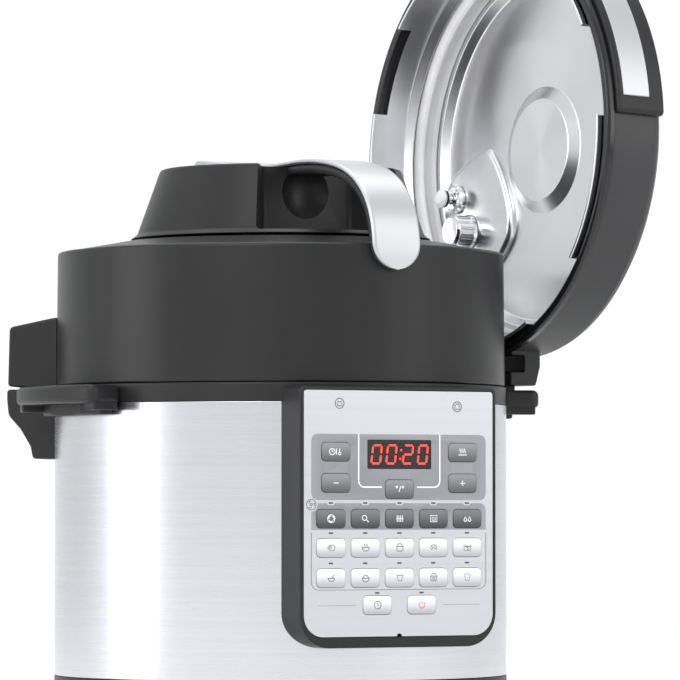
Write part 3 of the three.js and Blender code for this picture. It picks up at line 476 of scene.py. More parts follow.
def spun(name, colour, centre, rough=0.22):
    """Metal turned on a lathe about the parked lid's axis: rings round its centre."""
    m = Nodes(name)
    place = m.add("ShaderNodeMapping")
    place.inputs["Location"].default_value = tuple(-c * MM for c in centre)
    m.link(m.coords, place.inputs["Vector"])
    split = m.add("ShaderNodeSeparateXYZ")
    m.link(place.outputs["Vector"], split.inputs["Vector"])
    flat = m.add("ShaderNodeCombineXYZ")
    m.link(split.outputs["Y"], flat.inputs["Y"])
    m.link(split.outputs["Z"], flat.inputs["Z"])
    radius = m.add("ShaderNodeVectorMath", operation="LENGTH")
    m.link(flat.outputs["Vector"], radius.inputs[0])
    line = m.add("ShaderNodeCombineXYZ")
    m.link(radius.outputs["Value"], line.inputs["X"])
    rings = m.noise(line.outputs["Vector"], 2600.0, 3.0, 0.7)
    cloud = m.noise(m.coords, 14.0, 3.0)
    stops = [(0.3, shade(colour, 0.93)), (0.7, shade(colour, 1.03))]
    m.link(m.ramp(cloud, stops), m.shader.inputs["Base Color"])
    m.link(m.spread(rings, rough - 0.06, rough + 0.09), m.shader.inputs["Roughness"])
    m.link(m.bump(rings, 0.06, 0.0001), m.shader.inputs["Normal"])
    m.set(Metallic=1.0, Anisotropic=0.75)
    turn = m.add("ShaderNodeTangent", direction_type="RADIAL", axis="X")
    m.link(turn.outputs["Tangent"], m.shader.inputs["Tangent"])
    return m.material


def silver_paint(name, colour):
    """Satin metallic paint over plastic, with fine flake."""
    m = Nodes(name)
    flake = m.noise(m.coords, 5200.0, 1.0)
    drift = m.noise(m.coords, 11.0, 3.0)
    stops = [(0.3, shade(colour, 0.93)), (0.7, shade(colour, 1.05))]
    m.link(m.ramp(drift, stops), m.shader.inputs["Base Color"])
    m.link(m.spread(flake, 0.34, 0.46), m.shader.inputs["Roughness"])
    m.link(m.bump(flake, 0.05, 0.0001), m.shader.inputs["Normal"])
    m.set(Metallic=0.7, Coat_Weight=0.25, Coat_Roughness=0.25)
    return m.material


def silicone(name, colour):
    """Translucent silicone rubber."""
    m = Nodes(name)
    drift = m.noise(m.coords, 40.0, 4.0)
    fine = m.noise(m.coords, 900.0, 3.0)
    stops = [(0.3, shade(colour, 0.93)), (0.7, shade(colour, 1.02))]
    m.link(m.ramp(drift, stops), m.shader.inputs["Base Color"])
    m.link(m.spread(fine, 0.34, 0.5), m.shader.inputs["Roughness"])
    m.link(m.bump(fine, 0.08, 0.0002), m.shader.inputs["Normal"])
    m.set(Subsurface_Weight=0.5, Subsurface_Scale=0.006, Sheen_Weight=0.1)
    m.shader.inputs["Subsurface Radius"].default_value = (1.0, 0.95, 0.9)
    return m.material


def glowing(name, colour, strength):
    """Lit digits behind the display window, a little uneven."""
    m = Nodes(name)
    flicker = m.noise(m.coords, 700.0, 2.0)
    stops = [(0.3, shade(colour, 0.85)), (0.7, colour)]
    lit = m.ramp(flicker, stops)
    m.link(lit, m.shader.inputs["Base Color"])
    m.link(lit, m.shader.inputs["Emission Color"])
    m.set(Emission_Strength=strength, Roughness=0.5)
    return m.material


DARK = (0.014, 0.014, 0.0148)
MAT = {
    "dark": plastic("dark_plastic", DARK, 0.4, 0.06),
    "drum": plastic("drum_plastic", DARK, 0.36, 0.06),
    "gloss": plastic("gloss_rim", (0.008, 0.008, 0.009), 0.16, 0.02, coat=0.4),
    "liner": plastic("strap_liner", (0.02, 0.02, 0.021), 0.5, 0.08),
    "rubber": plastic("foot_rubber", (0.015, 0.015, 0.015), 0.75, 0.2),
    "steel": brushed("housing_steel", (0.66, 0.66, 0.69)),
    "pot": brushed("pot_steel", (0.7, 0.7, 0.72), 0.22),
    "fascia": brushed("fascia_metal", (0.6, 0.6, 0.63), 0.34, (20.0, 20.0, 2200.0), 0.03),
    "plate": metal("plate_metal", (0.72, 0.72, 0.75), 0.16),
    "chrome": metal("chrome", (0.8, 0.8, 0.82), 0.07, 0.005),
    "cast": metal("cast_aluminium", (0.42, 0.42, 0.43), 0.45, 0.25, 600.0),
    "coil": metal("coil_metal", (0.1, 0.09, 0.085), 0.42, 0.15, 500.0),
    "silver": silver_paint("silver_paint", (0.5, 0.5, 0.52)),
    "silicone": silicone("silicone_white", (0.82, 0.82, 0.82)),
    "window": plastic("display_window", (0.004, 0.004, 0.004), 0.08, 0.0, coat=0.6),
    "led": glowing("led_red", (1.0, 0.03, 0.02), 3.5),
    "led_off": plastic("led_unlit", (0.045, 0.006, 0.006), 0.3, 0.0),
    "block": plastic("grey_print", (0.21, 0.21, 0.225), 0.38, 0.02),
    "white": plastic("white_print", (0.75, 0.75, 0.76), 0.5, 0.01),
    "ink": plastic("dark_print", (0.05, 0.05, 0.055), 0.5, 0.01),
    "blue": plastic("blue_print", (0.03, 0.16, 0.5), 0.5, 0.01),
    "red": plastic("red_print", (0.5, 0.02, 0.02), 0.5, 0.01),
}


def key_finish(name, top, bottom):
    """Printed key face: lighter at its upper edge, darker at its lower one."""
    m = Nodes(name)
    generated = m.add("ShaderNodeTexCoord").outputs["Generated"]
    split = m.add("ShaderNodeSeparateXYZ")
    m.link(generated, split.inputs["Vector"])
    fine = m.noise(m.coords, 1800.0, 2.0)
    m.link(m.ramp(split.outputs["Z"], [(0.12, bottom), (0.85, top)]), m.shader.inputs["Base Color"])
    m.link(m.spread(fine, 0.3, 0.4), m.shader.inputs["Roughness"])
    m.link(m.bump(fine, 0.02, 0.0001), m.shader.inputs["Normal"])
    m.set(Coat_Weight=0.2, Coat_Roughness=0.15)
    return m.material


MAT["key_mid"] = key_finish("key_mid_grey", (0.24, 0.24, 0.26), (0.085, 0.085, 0.09))
MAT["key_dark"] = key_finish("key_dark_grey", (0.16, 0.16, 0.17), (0.035, 0.035, 0.037))
MAT["key_light"] = key_finish("key_light_grey", (0.86, 0.86, 0.88), (0.42, 0.42, 0.45))


def piece(obj, material, body, stands_for=()):
    """Gives an object its material and fixes it to a CAD body."""
    obj.data.materials.clear()
    obj.data.materials.append(MAT[material])
    weigh = obj.modifiers.new("weighted", "WEIGHTED_NORMAL")
    weigh.keep_sharp = True
    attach(obj, body)
    if stands_for:
        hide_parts(*((stands_for,) if isinstance(stands_for, str) else stands_for))
    return obj


# ---- sizes read from the CAD ----
HOUSING_LOW, HOUSING_HIGH = box("steel_housing")
COLLAR_HIGH = box("top_collar")[1]
PAN_HIGH = box("base_pan")[1]
DRUM_LOW, DRUM_HIGH = box("fryer_drum")
TOWER_LOW, TOWER_HIGH = box("fryer_tower")
BEZEL_LOW, BEZEL_HIGH = box("panel_bezel")
FASCIA_LOW, FASCIA_HIGH = box("panel_fascia")
HANDLE_LOW, HANDLE_HIGH = box("right_handle")
POT_LOW, POT_HIGH = box("inner_pot")
LINER_LOW, LINER_HIGH = box("inner_housing")
CHAMBER_LOW, CHAMBER_HIGH = box("chamber_liner")
GUARD_LOW, GUARD_HIGH = box("coil_guard")
FAN_LOW, FAN_HIGH = box("air_fan")
BODY_R = HOUSING_HIGH.x
SEAM_Z = COLLAR_HIGH.z
GAP = 0.3


# ---- cooker base ----
def base_pan():
    r = PAN_HIGH.x - 0.3
    lip = HOUSING_LOW.z - GAP
    inside = BODY_R - 1.0 - GAP
    profile = softened([
        (0, 0), (r - 13.4, 0, 6), (r, 12, 8), (r, lip, 0.8), (inside, lip), (inside, PAN_HIGH.z, 0.8),
        (inside - 2.5, PAN_HIGH.z, 0.8), (inside - 2.5, 12, 4), (r - 15, 3.5, 4), (0, 3.5),
    ])
    pan = lathe("base_pan_shell", profile)
    cutters = []
    for i in (-3, -2, -1, 1, 2, 3):
        y = 14 * i + math.copysign(16, i)
        cutters.append(slab("vent", rounded_rect(36, 4, 1.9, 0, y), -2, 6))
    for n in range(1, 5):
        low, high = box(f"foot_{n}")
        middle = (low + high) / 2
        hole = lathe("pocket", [(0, -2), (11.3, -2), (11.3, 1.3), (0, 1.3)], seg=48)
        hole.data.transform(Matrix.Translation(Vector((middle.x, middle.y, 0)) * MM))
        cutters.append(hole)
    piece(cut(pan, *cutters), "dark", "cooker", "base_pan")


def feet():
    for n in range(1, 5):
        low, high = box(f"foot_{n}")
        middle = (low + high) / 2
        r = (high.x - low.x) / 2
        profile = softened([
            (0, low.z + 1.2), (r - 5, low.z + 1.2, 0.6), (r - 4.2, low.z, 0.6), (r - 1.6, low.z, 1.2),
            (r, low.z + 2.4, 1.2), (r, high.z), (0, high.z),
        ])
        place = Matrix.Translation((middle.x, middle.y, 0))
        piece(lathe(f"foot_pad_{n}", profile, place, 48), "rubber", "cooker", f"foot_{n}")


def steel_housing():
    z0, z1 = HOUSING_LOW.z, HOUSING_HIGH.z
    profile = softened([
        (BODY_R - 1, z0), (BODY_R, z0, 0.4), (BODY_R, z1, 0.4), (BODY_R - 1, z1),
    ])
    shell = lathe("housing_shell", profile, seg=192)
    window = block(-58, 58, -160, -100, BEZEL_LOW.z + 12, z1 - 10)
    low, high = box("power_inlet")
    inlet = block(low.x - GAP, high.x + GAP, 100, 160, low.z - GAP, high.z + GAP)
    piece(cut(shell, window, inlet), "steel", "cooker", "steel_housing")


def top_collar():
    r = COLLAR_HIGH.x
    z0 = HOUSING_HIGH.z
    inner = LINER_HIGH.x
    seat = POT_HIGH.z - 1.5
    profile = softened([
        (inner + GAP, z0 - 12), (inner + 1.8, z0 - 12), (inner + 1.8, z0 - 5, 1),
        (r - 1, z0 - 5), (r - 1, z0 + GAP), (r, z0 + GAP, 0.5), (r, SEAM_Z, 1.4),
        (inner + 2.5, SEAM_Z, 1.2), (inner - 1.2, seat, 1), (inner - 6.7, seat, 0.5),
        (inner - 6.7, seat - 1.4, 0.5), (inner + GAP, seat - 1.4),
    ])
    piece(lathe("collar_ring", profile), "dark", "cooker", "top_collar")


def carry_handle(name, node, turn, slot_x):
    """Ledge with a rounded nose, brackets under it, and the parking slot through it."""
    root = BODY_R + GAP
    nose = HANDLE_HIGH.x
    half = 18.3
    z0, z1 = HANDLE_LOW.z + 7, HANDLE_HIGH.z
    ledge = slab(name, sector(root, nose, -half, half, 24, 6.5), z0, z1, 3.6, edge_low=3.0, steps=5)
    rib = sector(root, nose - 16, -half + 3, half - 3, 20, 3)
    under = slab("under", rib, HANDLE_LOW.z, z0 + 2, 0, edge_low=1.6)
    rims = []
    for side in (-1, 1):
        a = side * (half - 1.9)
        rim = sector(root + 3, nose - 3, a - 1.6, a + 1.6, 4, 1.5)
        rims.append(slab("rim", rim, z0 - 4.4, z0 + 2, 0, edge_low=0.9))
    hollow = slab("hollow", sector(root + 2.5, nose - 19, -half + 6, half - 6, 12), 180, z0)
    slot = slab("slot", rounded_rect(10.8, 42.8, 1.6, slot_x, 0), 170, 230)
    solid = cut(join(ledge, under, *rims), hollow, slot)
    solid.data.transform(Matrix.Rotation(math.radians(turn), 4, "Z"))
    piece(solid, "dark", "cooker", node)


def panel_outline(half_w, z0, z1, r, r_top):
    out = arc(half_w - r_top, z1 - r_top, r_top, 0, 90, 5)
    out += arc(-half_w + r_top, z1 - r_top, r_top, 90, 180, 5)
    out += arc(-half_w + r, z0 + r, r, 180, 270, 14)
    out += arc(half_w - r, z0 + r, r, 270, 360, 14)
    return out


FACE_Y = FASCIA_LOW.y
KEY_NODES = [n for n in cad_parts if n.startswith("key_")]
KEY_GAP = 0.3


TO_FRONT = Matrix(((1, 0, 0, 0), (0, 0, -1, 0), (0, 1, 0, 0), (0, 0, 0, 1)))  # z of a slab -> -Y


def front_slab(name, outline, y_front, y_back, edge=0.0, steps=3):
    """A slab standing upright, its rounded face towards -Y."""
    return slab(name, outline, -y_back, -y_front, edge, TO_FRONT, edge_low=0, steps=steps)


def panel_bezel():
    half_w = BEZEL_HIGH.x
    y0 = BEZEL_LOW.y
    outline = panel_outline(half_w, BEZEL_LOW.z, BEZEL_HIGH.z, 21, 3)
    frame_block = front_slab("bezel_frame", outline, y0, -110, 1.2)
    back = lathe("back", [(0, 0), (BODY_R + GAP, 0), (BODY_R + GAP, 240), (0, 240)], seg=192)
    seat_outline = panel_outline(half_w - 2.2, FASCIA_LOW.z - GAP, FASCIA_HIGH.z + GAP, 14, 2)
    seat = front_slab("seat", seat_outline, y0 - 2, y0 + 3.3)
    hollow = block(-60, 60, y0 - 2, -100, BEZEL_LOW.z + 14, HOUSING_HIGH.z - 12)
    piece(cut(frame_block, back, seat, hollow), "dark", "cooker", "panel_bezel")


def key_rect(node, grow):
    low, high = box(node)
    w, h = high.x - low.x + 2 * grow, high.z - low.z + 2 * grow
    return rounded_rect(w, h, 2.6 + grow, (low.x + high.x) / 2, (low.z + high.z) / 2, 4)


def key_holes():
    """One cutter for all the keys and the display window."""
    holes = [front_slab("hole", key_rect(n, KEY_GAP), FACE_Y - 4, FACE_Y + 8) for n in KEY_NODES]
    holes.append(front_slab("hole", display_outline(GAP), FACE_Y - 4, FACE_Y + 8))
    bpy.ops.object.select_all(action="DESELECT")
    for hole in holes:
        hole.select_set(True)
    bpy.context.view_layer.objects.active = holes[0]
    bpy.ops.object.join()
    return holes[0]


DISPLAY_W = 45.0
DISPLAY_H = 17.4


def display_centre():
    return box("display_module")[0].z + 3 + DISPLAY_H / 2


def display_outline(grow):
    return rounded_rect(DISPLAY_W + 2 * grow, DISPLAY_H + 2 * grow, 0.9, 0, display_centre(), 3)


def fascia():
    half_w = FASCIA_HIGH.x
    outline = panel_outline(half_w, FASCIA_LOW.z, FASCIA_HIGH.z, 13.7, 2)
    plate = front_slab("fascia_plate", outline, FACE_Y, FASCIA_HIGH.y, 0.35)
    notch = slab("notch", arc(0, FASCIA_LOW.z, 1.9, 0, 360, 20)[:-1], -160, -140, 0, TO_Y)
    piece(cut(plate, key_holes(), notch), "fascia", "cooker", "panel_fascia")


PRINT = 0.07  # thickness of printed layers


def printed(name, outline, material, holes=(), level=0, pierced=True):
    """A printed area of the fascia, with the keys' holes left in it."""
    y = FACE_Y - PRINT * level
    area = front_slab(name, outline, y - PRINT, y + 0.02)
    cutters = list(holes) + ([key_holes()] if pierced else [])
    if cutters:
        area = cut(area, *cutters)
    return piece(area, material, "cooker")


def flat_lines(name, lines, width, material, y, body="cooker"):
    """Strokes lying on the panel; y is the surface they lie on."""
    place = TO_FRONT @ Matrix.Translation((0, 0, -y))
    return piece(ribbon(name, lines, width, 0.06, place), material, body)


def circle(cx, cz, r, steps=20):
    pts = arc(cx, cz, r, 0, 360, steps)
    pts[-1] = pts[0]
    return pts


PITCH_X = 24.3
BLOCK_HALF_W = 62.3
ROW_B = 104.9
ROW_C = 86.4


def panel_print():
    top = 174.8
    upper_bottom = 134.2
    lower_top = 132.4
    lower_bottom = 115.9
    w = BLOCK_HALF_W
    upper = softened([(-w, upper_bottom, 5), (w, upper_bottom, 5), (w, top, 5), (-w, top, 5)], 6)
    lower = softened([(-w, lower_bottom), (w, lower_bottom), (w, lower_top, 5), (-w, lower_top, 5)], 6)
    bites = []
    for i in range(-2, 3):
        lamp_gap = rounded_rect(5.4, 2.6, 1.2, i * PITCH_X, lower_top)
        bites.append(front_slab("bite", lamp_gap, FACE_Y - 3, FACE_Y + 3))
    bites.append(front_slab("bite", arc(-w, lower_top - 1, 4.4, 0, 360, 24)[:-1], FACE_Y - 3, FACE_Y + 3))
    printed("print_upper_block", upper, "block")
    printed("print_lower_block", lower, "block", bites)
    half = 29.0
    low = 142.2
    line = arc(-half + 4, low + 4, 4, 180, 270, 6)
    right = [(-x, z) for x, z in reversed(line)]
    flat_lines("print_window_line", [
        [(-half, top), *line, (-12.6, low)], [(12.6, low), *right, (half, top)],
    ], 0.75, "white", FACE_Y - PRINT)
    low = 79.2
    line = arc(-w + 5, low + 5, 5, 180, 270, 6)
    right = [(-x, z) for x, z in reversed(line)]
    flat_lines("print_key_field", [[(-w, lower_bottom - 1.6), *line, *right, (w, lower_bottom - 1.6)]],
               0.32, "ink", FACE_Y)
    flat_lines("print_side_lines", [[(-57.5, 69.6), (-31, 69.6)], [(31, 69.6), (57.5, 69.6)]],
               0.4, "block", FACE_Y)
    marks = []
    for z in (lower_top, ROW_B + 9.1, ROW_C + 9.1):
        marks += [[(i * PITCH_X - 1.5, z), (i * PITCH_X + 1.5, z)] for i in range(-2, 3)]
    marks += [[(s * 15.8 - 1.5, 77.2), (s * 15.8 + 1.5, 77.2)] for s in (-1, 1)]
    flat_lines("print_lamps", marks, 1.05, "ink", FACE_Y)
    face_icon("print_icon_left", -42.4, 193.5, 3.1, smile=False)
    face_icon("print_icon_right", 41.6, 192.2, 3.1, smile=True)
    flat_lines("print_fan_icon", [circle(-w, lower_top - 1, 3.3), circle(-w, lower_top - 1, 0.7)]
               + [arc(-w + 1.5 * math.cos(a), lower_top - 1 + 1.5 * math.sin(a), 0.9,
                      math.degrees(a) - 60, math.degrees(a) + 100, 5) for a in (0, 2.1, 4.2)],
               0.42, "ink", FACE_Y)


def face_icon(name, x, z, r, smile):
    """Small round pictogram of a pot seen from the front, with or without its lid."""
    lines = [circle(x, z, r)]
    lines.append([(x - 1.6, z + 0.2), (x - 1.6, z - 1.5), (x + 1.6, z - 1.5), (x + 1.6, z + 0.2)])
    if smile:
        lines.append(arc(x, z + 0.2, 1.6, 0, 180, 8))
    else:
        lines.append([(x - 1.8, z + 0.9), (x + 1.8, z + 0.9)])
    flat_lines(name, lines, 0.5, "ink", FACE_Y)


# Seven-segment digits: which of the bars a..g are lit.
SEGMENTS = {"0": "abcdef", "2": "abged"}


def digit(x, z, w, h, lit):
    slant = 0.12
    bars = {
        "a": ((0.1, 1), (0.9, 1)), "g": ((0.1, 0.5), (0.9, 0.5)), "d": ((0.1, 0), (0.9, 0)),
        "f": ((0, 0.57), (0, 0.93)), "b": ((1, 0.57), (1, 0.93)),
        "e": ((0, 0.07), (0, 0.43)), "c": ((1, 0.07), (1, 0.43)),
    }
    lines = []
    for bar, ends in bars.items():
        if bar in lit:
            lines.append([(x + u * w + slant * v * h, z + v * h) for u, v in ends])
    return lines


def display():
    low, high = box("display_module")
    front = front_slab("display_glass", display_outline(0), FACE_Y + 0.3, FACE_Y + 4, 0.3)
    case = block(low.x, high.x, FASCIA_HIGH.y + GAP, high.y, low.z, high.z, 1.0)
    piece(join(front, case), "window", "cooker", "display_module")
    z = display_centre() - 5.6
    lit = []
    unlit = []
    for i, figure in enumerate("0020"):
        x = -19.8 + 10.6 * i + (1.2 if i > 1 else 0)
        lit += digit(x, z, 6.2, 11.2, SEGMENTS[figure])
        rest = "".join(b for b in "abcdefg" if b not in SEGMENTS[figure])
        unlit += digit(x, z, 6.2, 11.2, rest)
    for k in (2.9, 8.3):
        lit.append([(0.55 + 0.1 * k, z + k - 0.5), (0.65 + 0.1 * k, z + k + 0.5)])
    flat_lines("display_digits", lit, 1.0, "led", FACE_Y + 0.3)
    flat_lines("display_unlit_bars", unlit, 1.0, "led_off", FACE_Y + 0.3)


# ---- keys ----
def wave(x, z0, z1, size=0.45, steps=10):
    out = []
    for i in range(steps + 1):
        t = i / steps
        out.append((x + size * math.sin(t * 2 * math.pi), z0 + (z1 - z0) * t))
    return out


def bowl(r=2.3, z=0.3):
    return [arc(0, z, r, 180, 360, 12), [(-r - 0.3, z), (r + 0.3, z)]]


def pot_sign():
    return [
        [(-2, 0.9), (-2, -1.6), (-1.4, -2.1), (1.4, -2.1), (2, -1.6), (2, 0.9)],
        [(-2.6, 0.9), (2.6, 0.9)],
        arc(0, 0.9, 1.7, 20, 160, 8),
    ]


def drop(x, z, r):
    top = (x, z + 2.3 * r)
    return [top, *arc(x, z, r, 25, -205, 12), top]


def icon(kind):
    """Strokes of a generic pictogram about (0, 0), in millimetres."""
    blades = [arc(0.9 * math.cos(a), 0.9 * math.sin(a), 0.95, math.degrees(a) - 80,
                  math.degrees(a) + 90, 7) for a in (0.3, 2.4, 4.5)]
    return {
        "time": [circle(-2.6, 0, 1.9), [(-2.6, 1.1), (-2.6, 0), (-1.8, -0.3)], [(0.2, -1.9), (0.2, 1.9)],
                 circle(2.4, -1.1, 0.8, 12), [(2.4, -0.3), (2.4, 2)]],
        "warm": [wave(x, -0.4, 2.4) for x in (-1.5, 0, 1.5)] + [[(-2.8, -1.5), (2.8, -1.5)]],
        "minus": [[(-1.7, 0), (1.7, 0)]],
        "plus": [[(-1.7, 0), (1.7, 0)], [(0, -1.7), (0, 1.7)]],
        "unit": [circle(-2.1, 1.3, 0.6, 10), [(-0.6, -1.8), (0.6, 1.8)], circle(2.0, 1.3, 0.6, 10)],
        "fan": [circle(0, 0, 2.4), *blades],
        "roast": [circle(-0.8, 0.5, 1.5), [(0.3, -0.5), (1.9, -1.9)], [(1.4, -2.2), (2.3, -1.5)]],
        "grill": [[(x, -2), (x, 2)] for x in (-1.8, -0.6, 0.6, 1.8)] + [[(-2.5, 0), (2.5, 0)]],
        "oven": [[(-2.2, -1.9), (2.2, -1.9), (2.2, 1.9), (-2.2, 1.9), (-2.2, -1.9)],
                 [(-1.2, -0.9), (1.2, -0.9), (1.2, 0.5), (-1.2, 0.5), (-1.2, -0.9)]],
        "dry": [drop(-1.4, -0.8, 0.9), drop(1.5, -0.8, 0.9)],
        "meat": [[(-2.4, 0.2), (-1.2, 1.7), (1, 1.8), (2.5, 0.5), (1.8, -1.4), (-0.6, -1.8), (-2.4, 0.2)],
                 circle(-0.6, 0.4, 0.6, 10)],
        "soup": [*bowl(), wave(-0.7, 0.9, 2.5, 0.3), wave(0.8, 0.9, 2.5, 0.3)],
        "stew": pot_sign(),
        "bean": [arc(0, -0.4, 2.1, 10, 170, 10), arc(0, -0.4, 0.8, 170, 10, 8),
                 arc(-1.45, -0.4, 0.65, 180, 360, 6), arc(1.45, -0.4, 0.65, 180, 360, 6)],
        "bath": [[(-2.3, 1.8), (-2.3, -1.8), (2.3, -1.8), (2.3, 1.8)], wave(0, -1.4, 1.4, 0.7),
                 [(-2.3, 0.6), (2.3, 0.6)]],
        "porridge": [*bowl(2.1, 0), [(0.4, 0.2), (2.2, 2.2)]],
        "rice": [*bowl(2.3, -0.1), arc(0, -0.1, 1.8, 0, 180, 10)],
        "yogurt": [[(-1.7, 1.6), (-1.2, -1.9), (1.2, -1.9), (1.7, 1.6)], [(-2.1, 1.6), (2.1, 1.6)]],
        "slow": [*pot_sign(), circle(0, -0.5, 0.8, 10)],
        "hat": [[(-1.4, -1.9), (-1.4, 0.1), (-2.3, 0.8), (-1.8, 1.9), (-0.6, 1.9), (0, 2.3), (0.6, 1.9),
                 (1.8, 1.9), (2.3, 0.8), (1.4, 0.1), (1.4, -1.9), (-1.4, -1.9)]],
        "clock": [circle(0, 0, 2.3), [(0, 1.4), (0, 0), (1.1, -0.4)]],
        "power": [arc(0, -0.1, 2.0, 125, 415, 16), [(0, 0.5), (0, 2.4)]],
    }[kind]


KEY_LOOKS = {
    "key_upper_left": ("time", "key_mid", "white"), "key_upper_right": ("warm", "key_mid", "white"),
    "key_minus": ("minus", "key_mid", "white"), "key_plus": ("plus", "key_mid", "white"),
    "key_centre": ("unit", "key_mid", "white"),
    "key_cancel": ("clock", "key_light", "ink"), "key_start": ("power", "key_light", "red"),
}
ROW_ICONS = {
    "a": (("fan", "roast", "grill", "oven", "dry"), "key_dark", "white"),
    "b": (("meat", "soup", "stew", "bean", "bath"), "key_light", "ink"),
    "c": (("porridge", "rice", "yogurt", "slow", "hat"), "key_light", "ink"),
}
for row, (signs, face, ink) in ROW_ICONS.items():
    for number, sign in enumerate(signs, 1):
        KEY_LOOKS[f"key_{row}{number}"] = (sign, face, "blue" if sign == "hat" else ink)


def keys():
    for node, (sign, face, ink) in KEY_LOOKS.items():
        low, high = box(node)
        body = f"{node}_body"
        cap = front_slab(f"{node}_cap", key_rect(node, 0), low.y, high.y, 0.35)
        piece(cap, face, body, node)
        cx, cz = (low.x + high.x) / 2, (low.z + high.z) / 2
        lines = [[(cx + 1.05 * x, cz + z) for x, z in line] for line in icon(sign)]
        flat_lines(f"{node}_mark", lines, 0.42, ink, low.y + 0.03, body)


# ---- inside the cooker ----
def inside():
    r, top = LINER_HIGH.x, LINER_HIGH.z
    z0 = LINER_LOW.z
    well = softened([
        (18, z0), (r - 7, z0, 3), (r, z0 + 8, 3), (r, top), (r - 1.2, top), (r - 1.2, z0 + 8.6, 3),
        (r - 7.6, z0 + 1.2, 3), (18, z0 + 1.2),
    ])
    piece(lathe("well_shell", well), "plate", "cooker", "inner_housing")
    low, high = box("heating_plate")
    groove = []
    for k in (30, 48, 66, 84):
        groove += [(k + 1.5, high.z), (k, high.z - 0.8), (k - 1.5, high.z)][::-1]
    disc = softened([(16, low.z, 1), (high.x - 4, low.z, 1), (high.x, low.z + 3, 1), (high.x, high.z, 2)])
    disc += [(x, z) for x, z in reversed(groove)] + [(16, high.z)]
    piece(lathe("heating_plate_disc", disc), "cast", "cooker", "heating_plate")
    low, high = box("temperature_sensor")
    r = high.x
    button = softened([
        (0, low.z), (r - 4, low.z, 0.6), (r - 4, high.z - 8), (r, high.z - 8, 0.8), (r, high.z, 2.4),
        (0, high.z),
    ])
    piece(lathe("sensor_button", button, seg=64), "chrome", "sensor", "temperature_sensor")


def inner_pot():
    low, high = POT_LOW, POT_HIGH
    rim = high.x
    r = 110.0
    t = 1.2
    z = low.z
    profile = softened([
        (0, z), (r + t, z, 13), (r + t, high.z - 3, 1), (r + t + 1.4, high.z - t, 1.4),
        (rim, high.z - t, 0.5), (rim, high.z, 0.5), (r, high.z, 2.5), (r, z + 2, 11), (0, z + 2),
    ], 7)
    pot = lathe("pot_shell", profile)
    piece(pot, "pot", "pot", "inner_pot")
    for i, z in enumerate((104, 138, 172)):
        ring = lathe(f"pot_level_{i}", [(r - 0.02, z), (r - 0.12, z + 0.3), (r - 0.02, z + 0.6)], seg=96)
        piece(ring, "pot", "pot")


# ---- rear: power inlet and lid connector ----
def power_inlet():
    low, high = box("power_inlet")
    w, h = high.x - low.x, high.z - low.z
    cz = (low.z + high.z) / 2
    case = front_slab("inlet_case", rounded_rect(w, h, 2, 0, cz), low.y, high.y, 0)
    mouth_outline = softened([(-12.5, cz - 10, 2), (12.5, cz - 10, 2), (12.5, cz + 5, 2), (8, cz + 10, 2),
                              (-8, cz + 10, 2), (-12.5, cz + 5, 2)])
    mouth = front_slab("mouth", mouth_outline, low.y + 4, high.y + 2)
    piece(cut(case, mouth), "dark", "cooker", "power_inlet")
    for i, x in enumerate((-7, 0, 7)):
        z = cz + (4 if x == 0 else -2)
        pin = block(x - 1, x + 1, low.y + 3.5, high.y - 6, z - 2, z + 2, 0.4, name=f"inlet_blade_{i + 1}")
        piece(pin, "chrome", "cooker")


DOCK_TURN = Matrix.Rotation(math.radians(142), 4, "Z")
DOCK_HALF_W = 22.8


def dock(name, node, outline, body, clear_r, pocket=None):
    solid = slab(name, softened(outline, 6), -DOCK_HALF_W, DOCK_HALF_W, 1.5, TO_FRONT, edge_low=1.5)
    tools = [lathe("clear", [(0, 60), (clear_r, 60), (clear_r, 340), (0, 340)], seg=192)]
    if pocket:
        tools.append(pocket)
    solid = cut(solid, *tools)
    solid.data.transform(DOCK_TURN)
    piece(solid, "dark", body, node)


def connector():
    r0 = BODY_R + GAP
    out = 175.0
    top = box("dock_socket")[1].z
    pocket = block(out - 21, out - 7, -15, 15, top - 14.7, top + 4, 1)
    dock("dock_socket_case", "dock_socket", [
        (r0 - 20, top - 44.7), (out - 17, top - 44.7, 3), (out - 15.5, top - 36.7, 5),
        (out - 9, top - 25.7, 8), (out - 1, top - 16.7, 8), (out, top - 6.7, 4), (out, top, 2.5),
        (r0 - 20, top),
    ], "cooker", r0, pocket)
    z0 = SEAM_Z + 0.5
    dock("dock_plug_case", "dock_plug", [
        (DRUM_HIGH.x - 20, z0), (out - 0.6, z0, 2.5), (out - 1.6, z0 + 38.3, 3.5),
        (DRUM_HIGH.x + 2, z0 + 44, 2), (DRUM_HIGH.x - 20, z0 + 47),
    ], "fryer_lid", DRUM_HIGH.x + GAP)
    for i, y in enumerate((-8, 8)):
        pin = block(out - 15, out - 13, y - 3, y + 3, z0 - 11, z0 + 1, 0.5, name=f"dock_pin_{i + 1}")
        pin.data.transform(DOCK_TURN)
        piece(pin, "chrome", "fryer_lid")


# ---- air-fryer lid ----
TOWER_R0 = 92.0
TOWER_R1 = 77.5
CHANNEL_HALF_W = 31.6
CHANNEL_Y = -32.5
CHANNEL_Z = 304.0


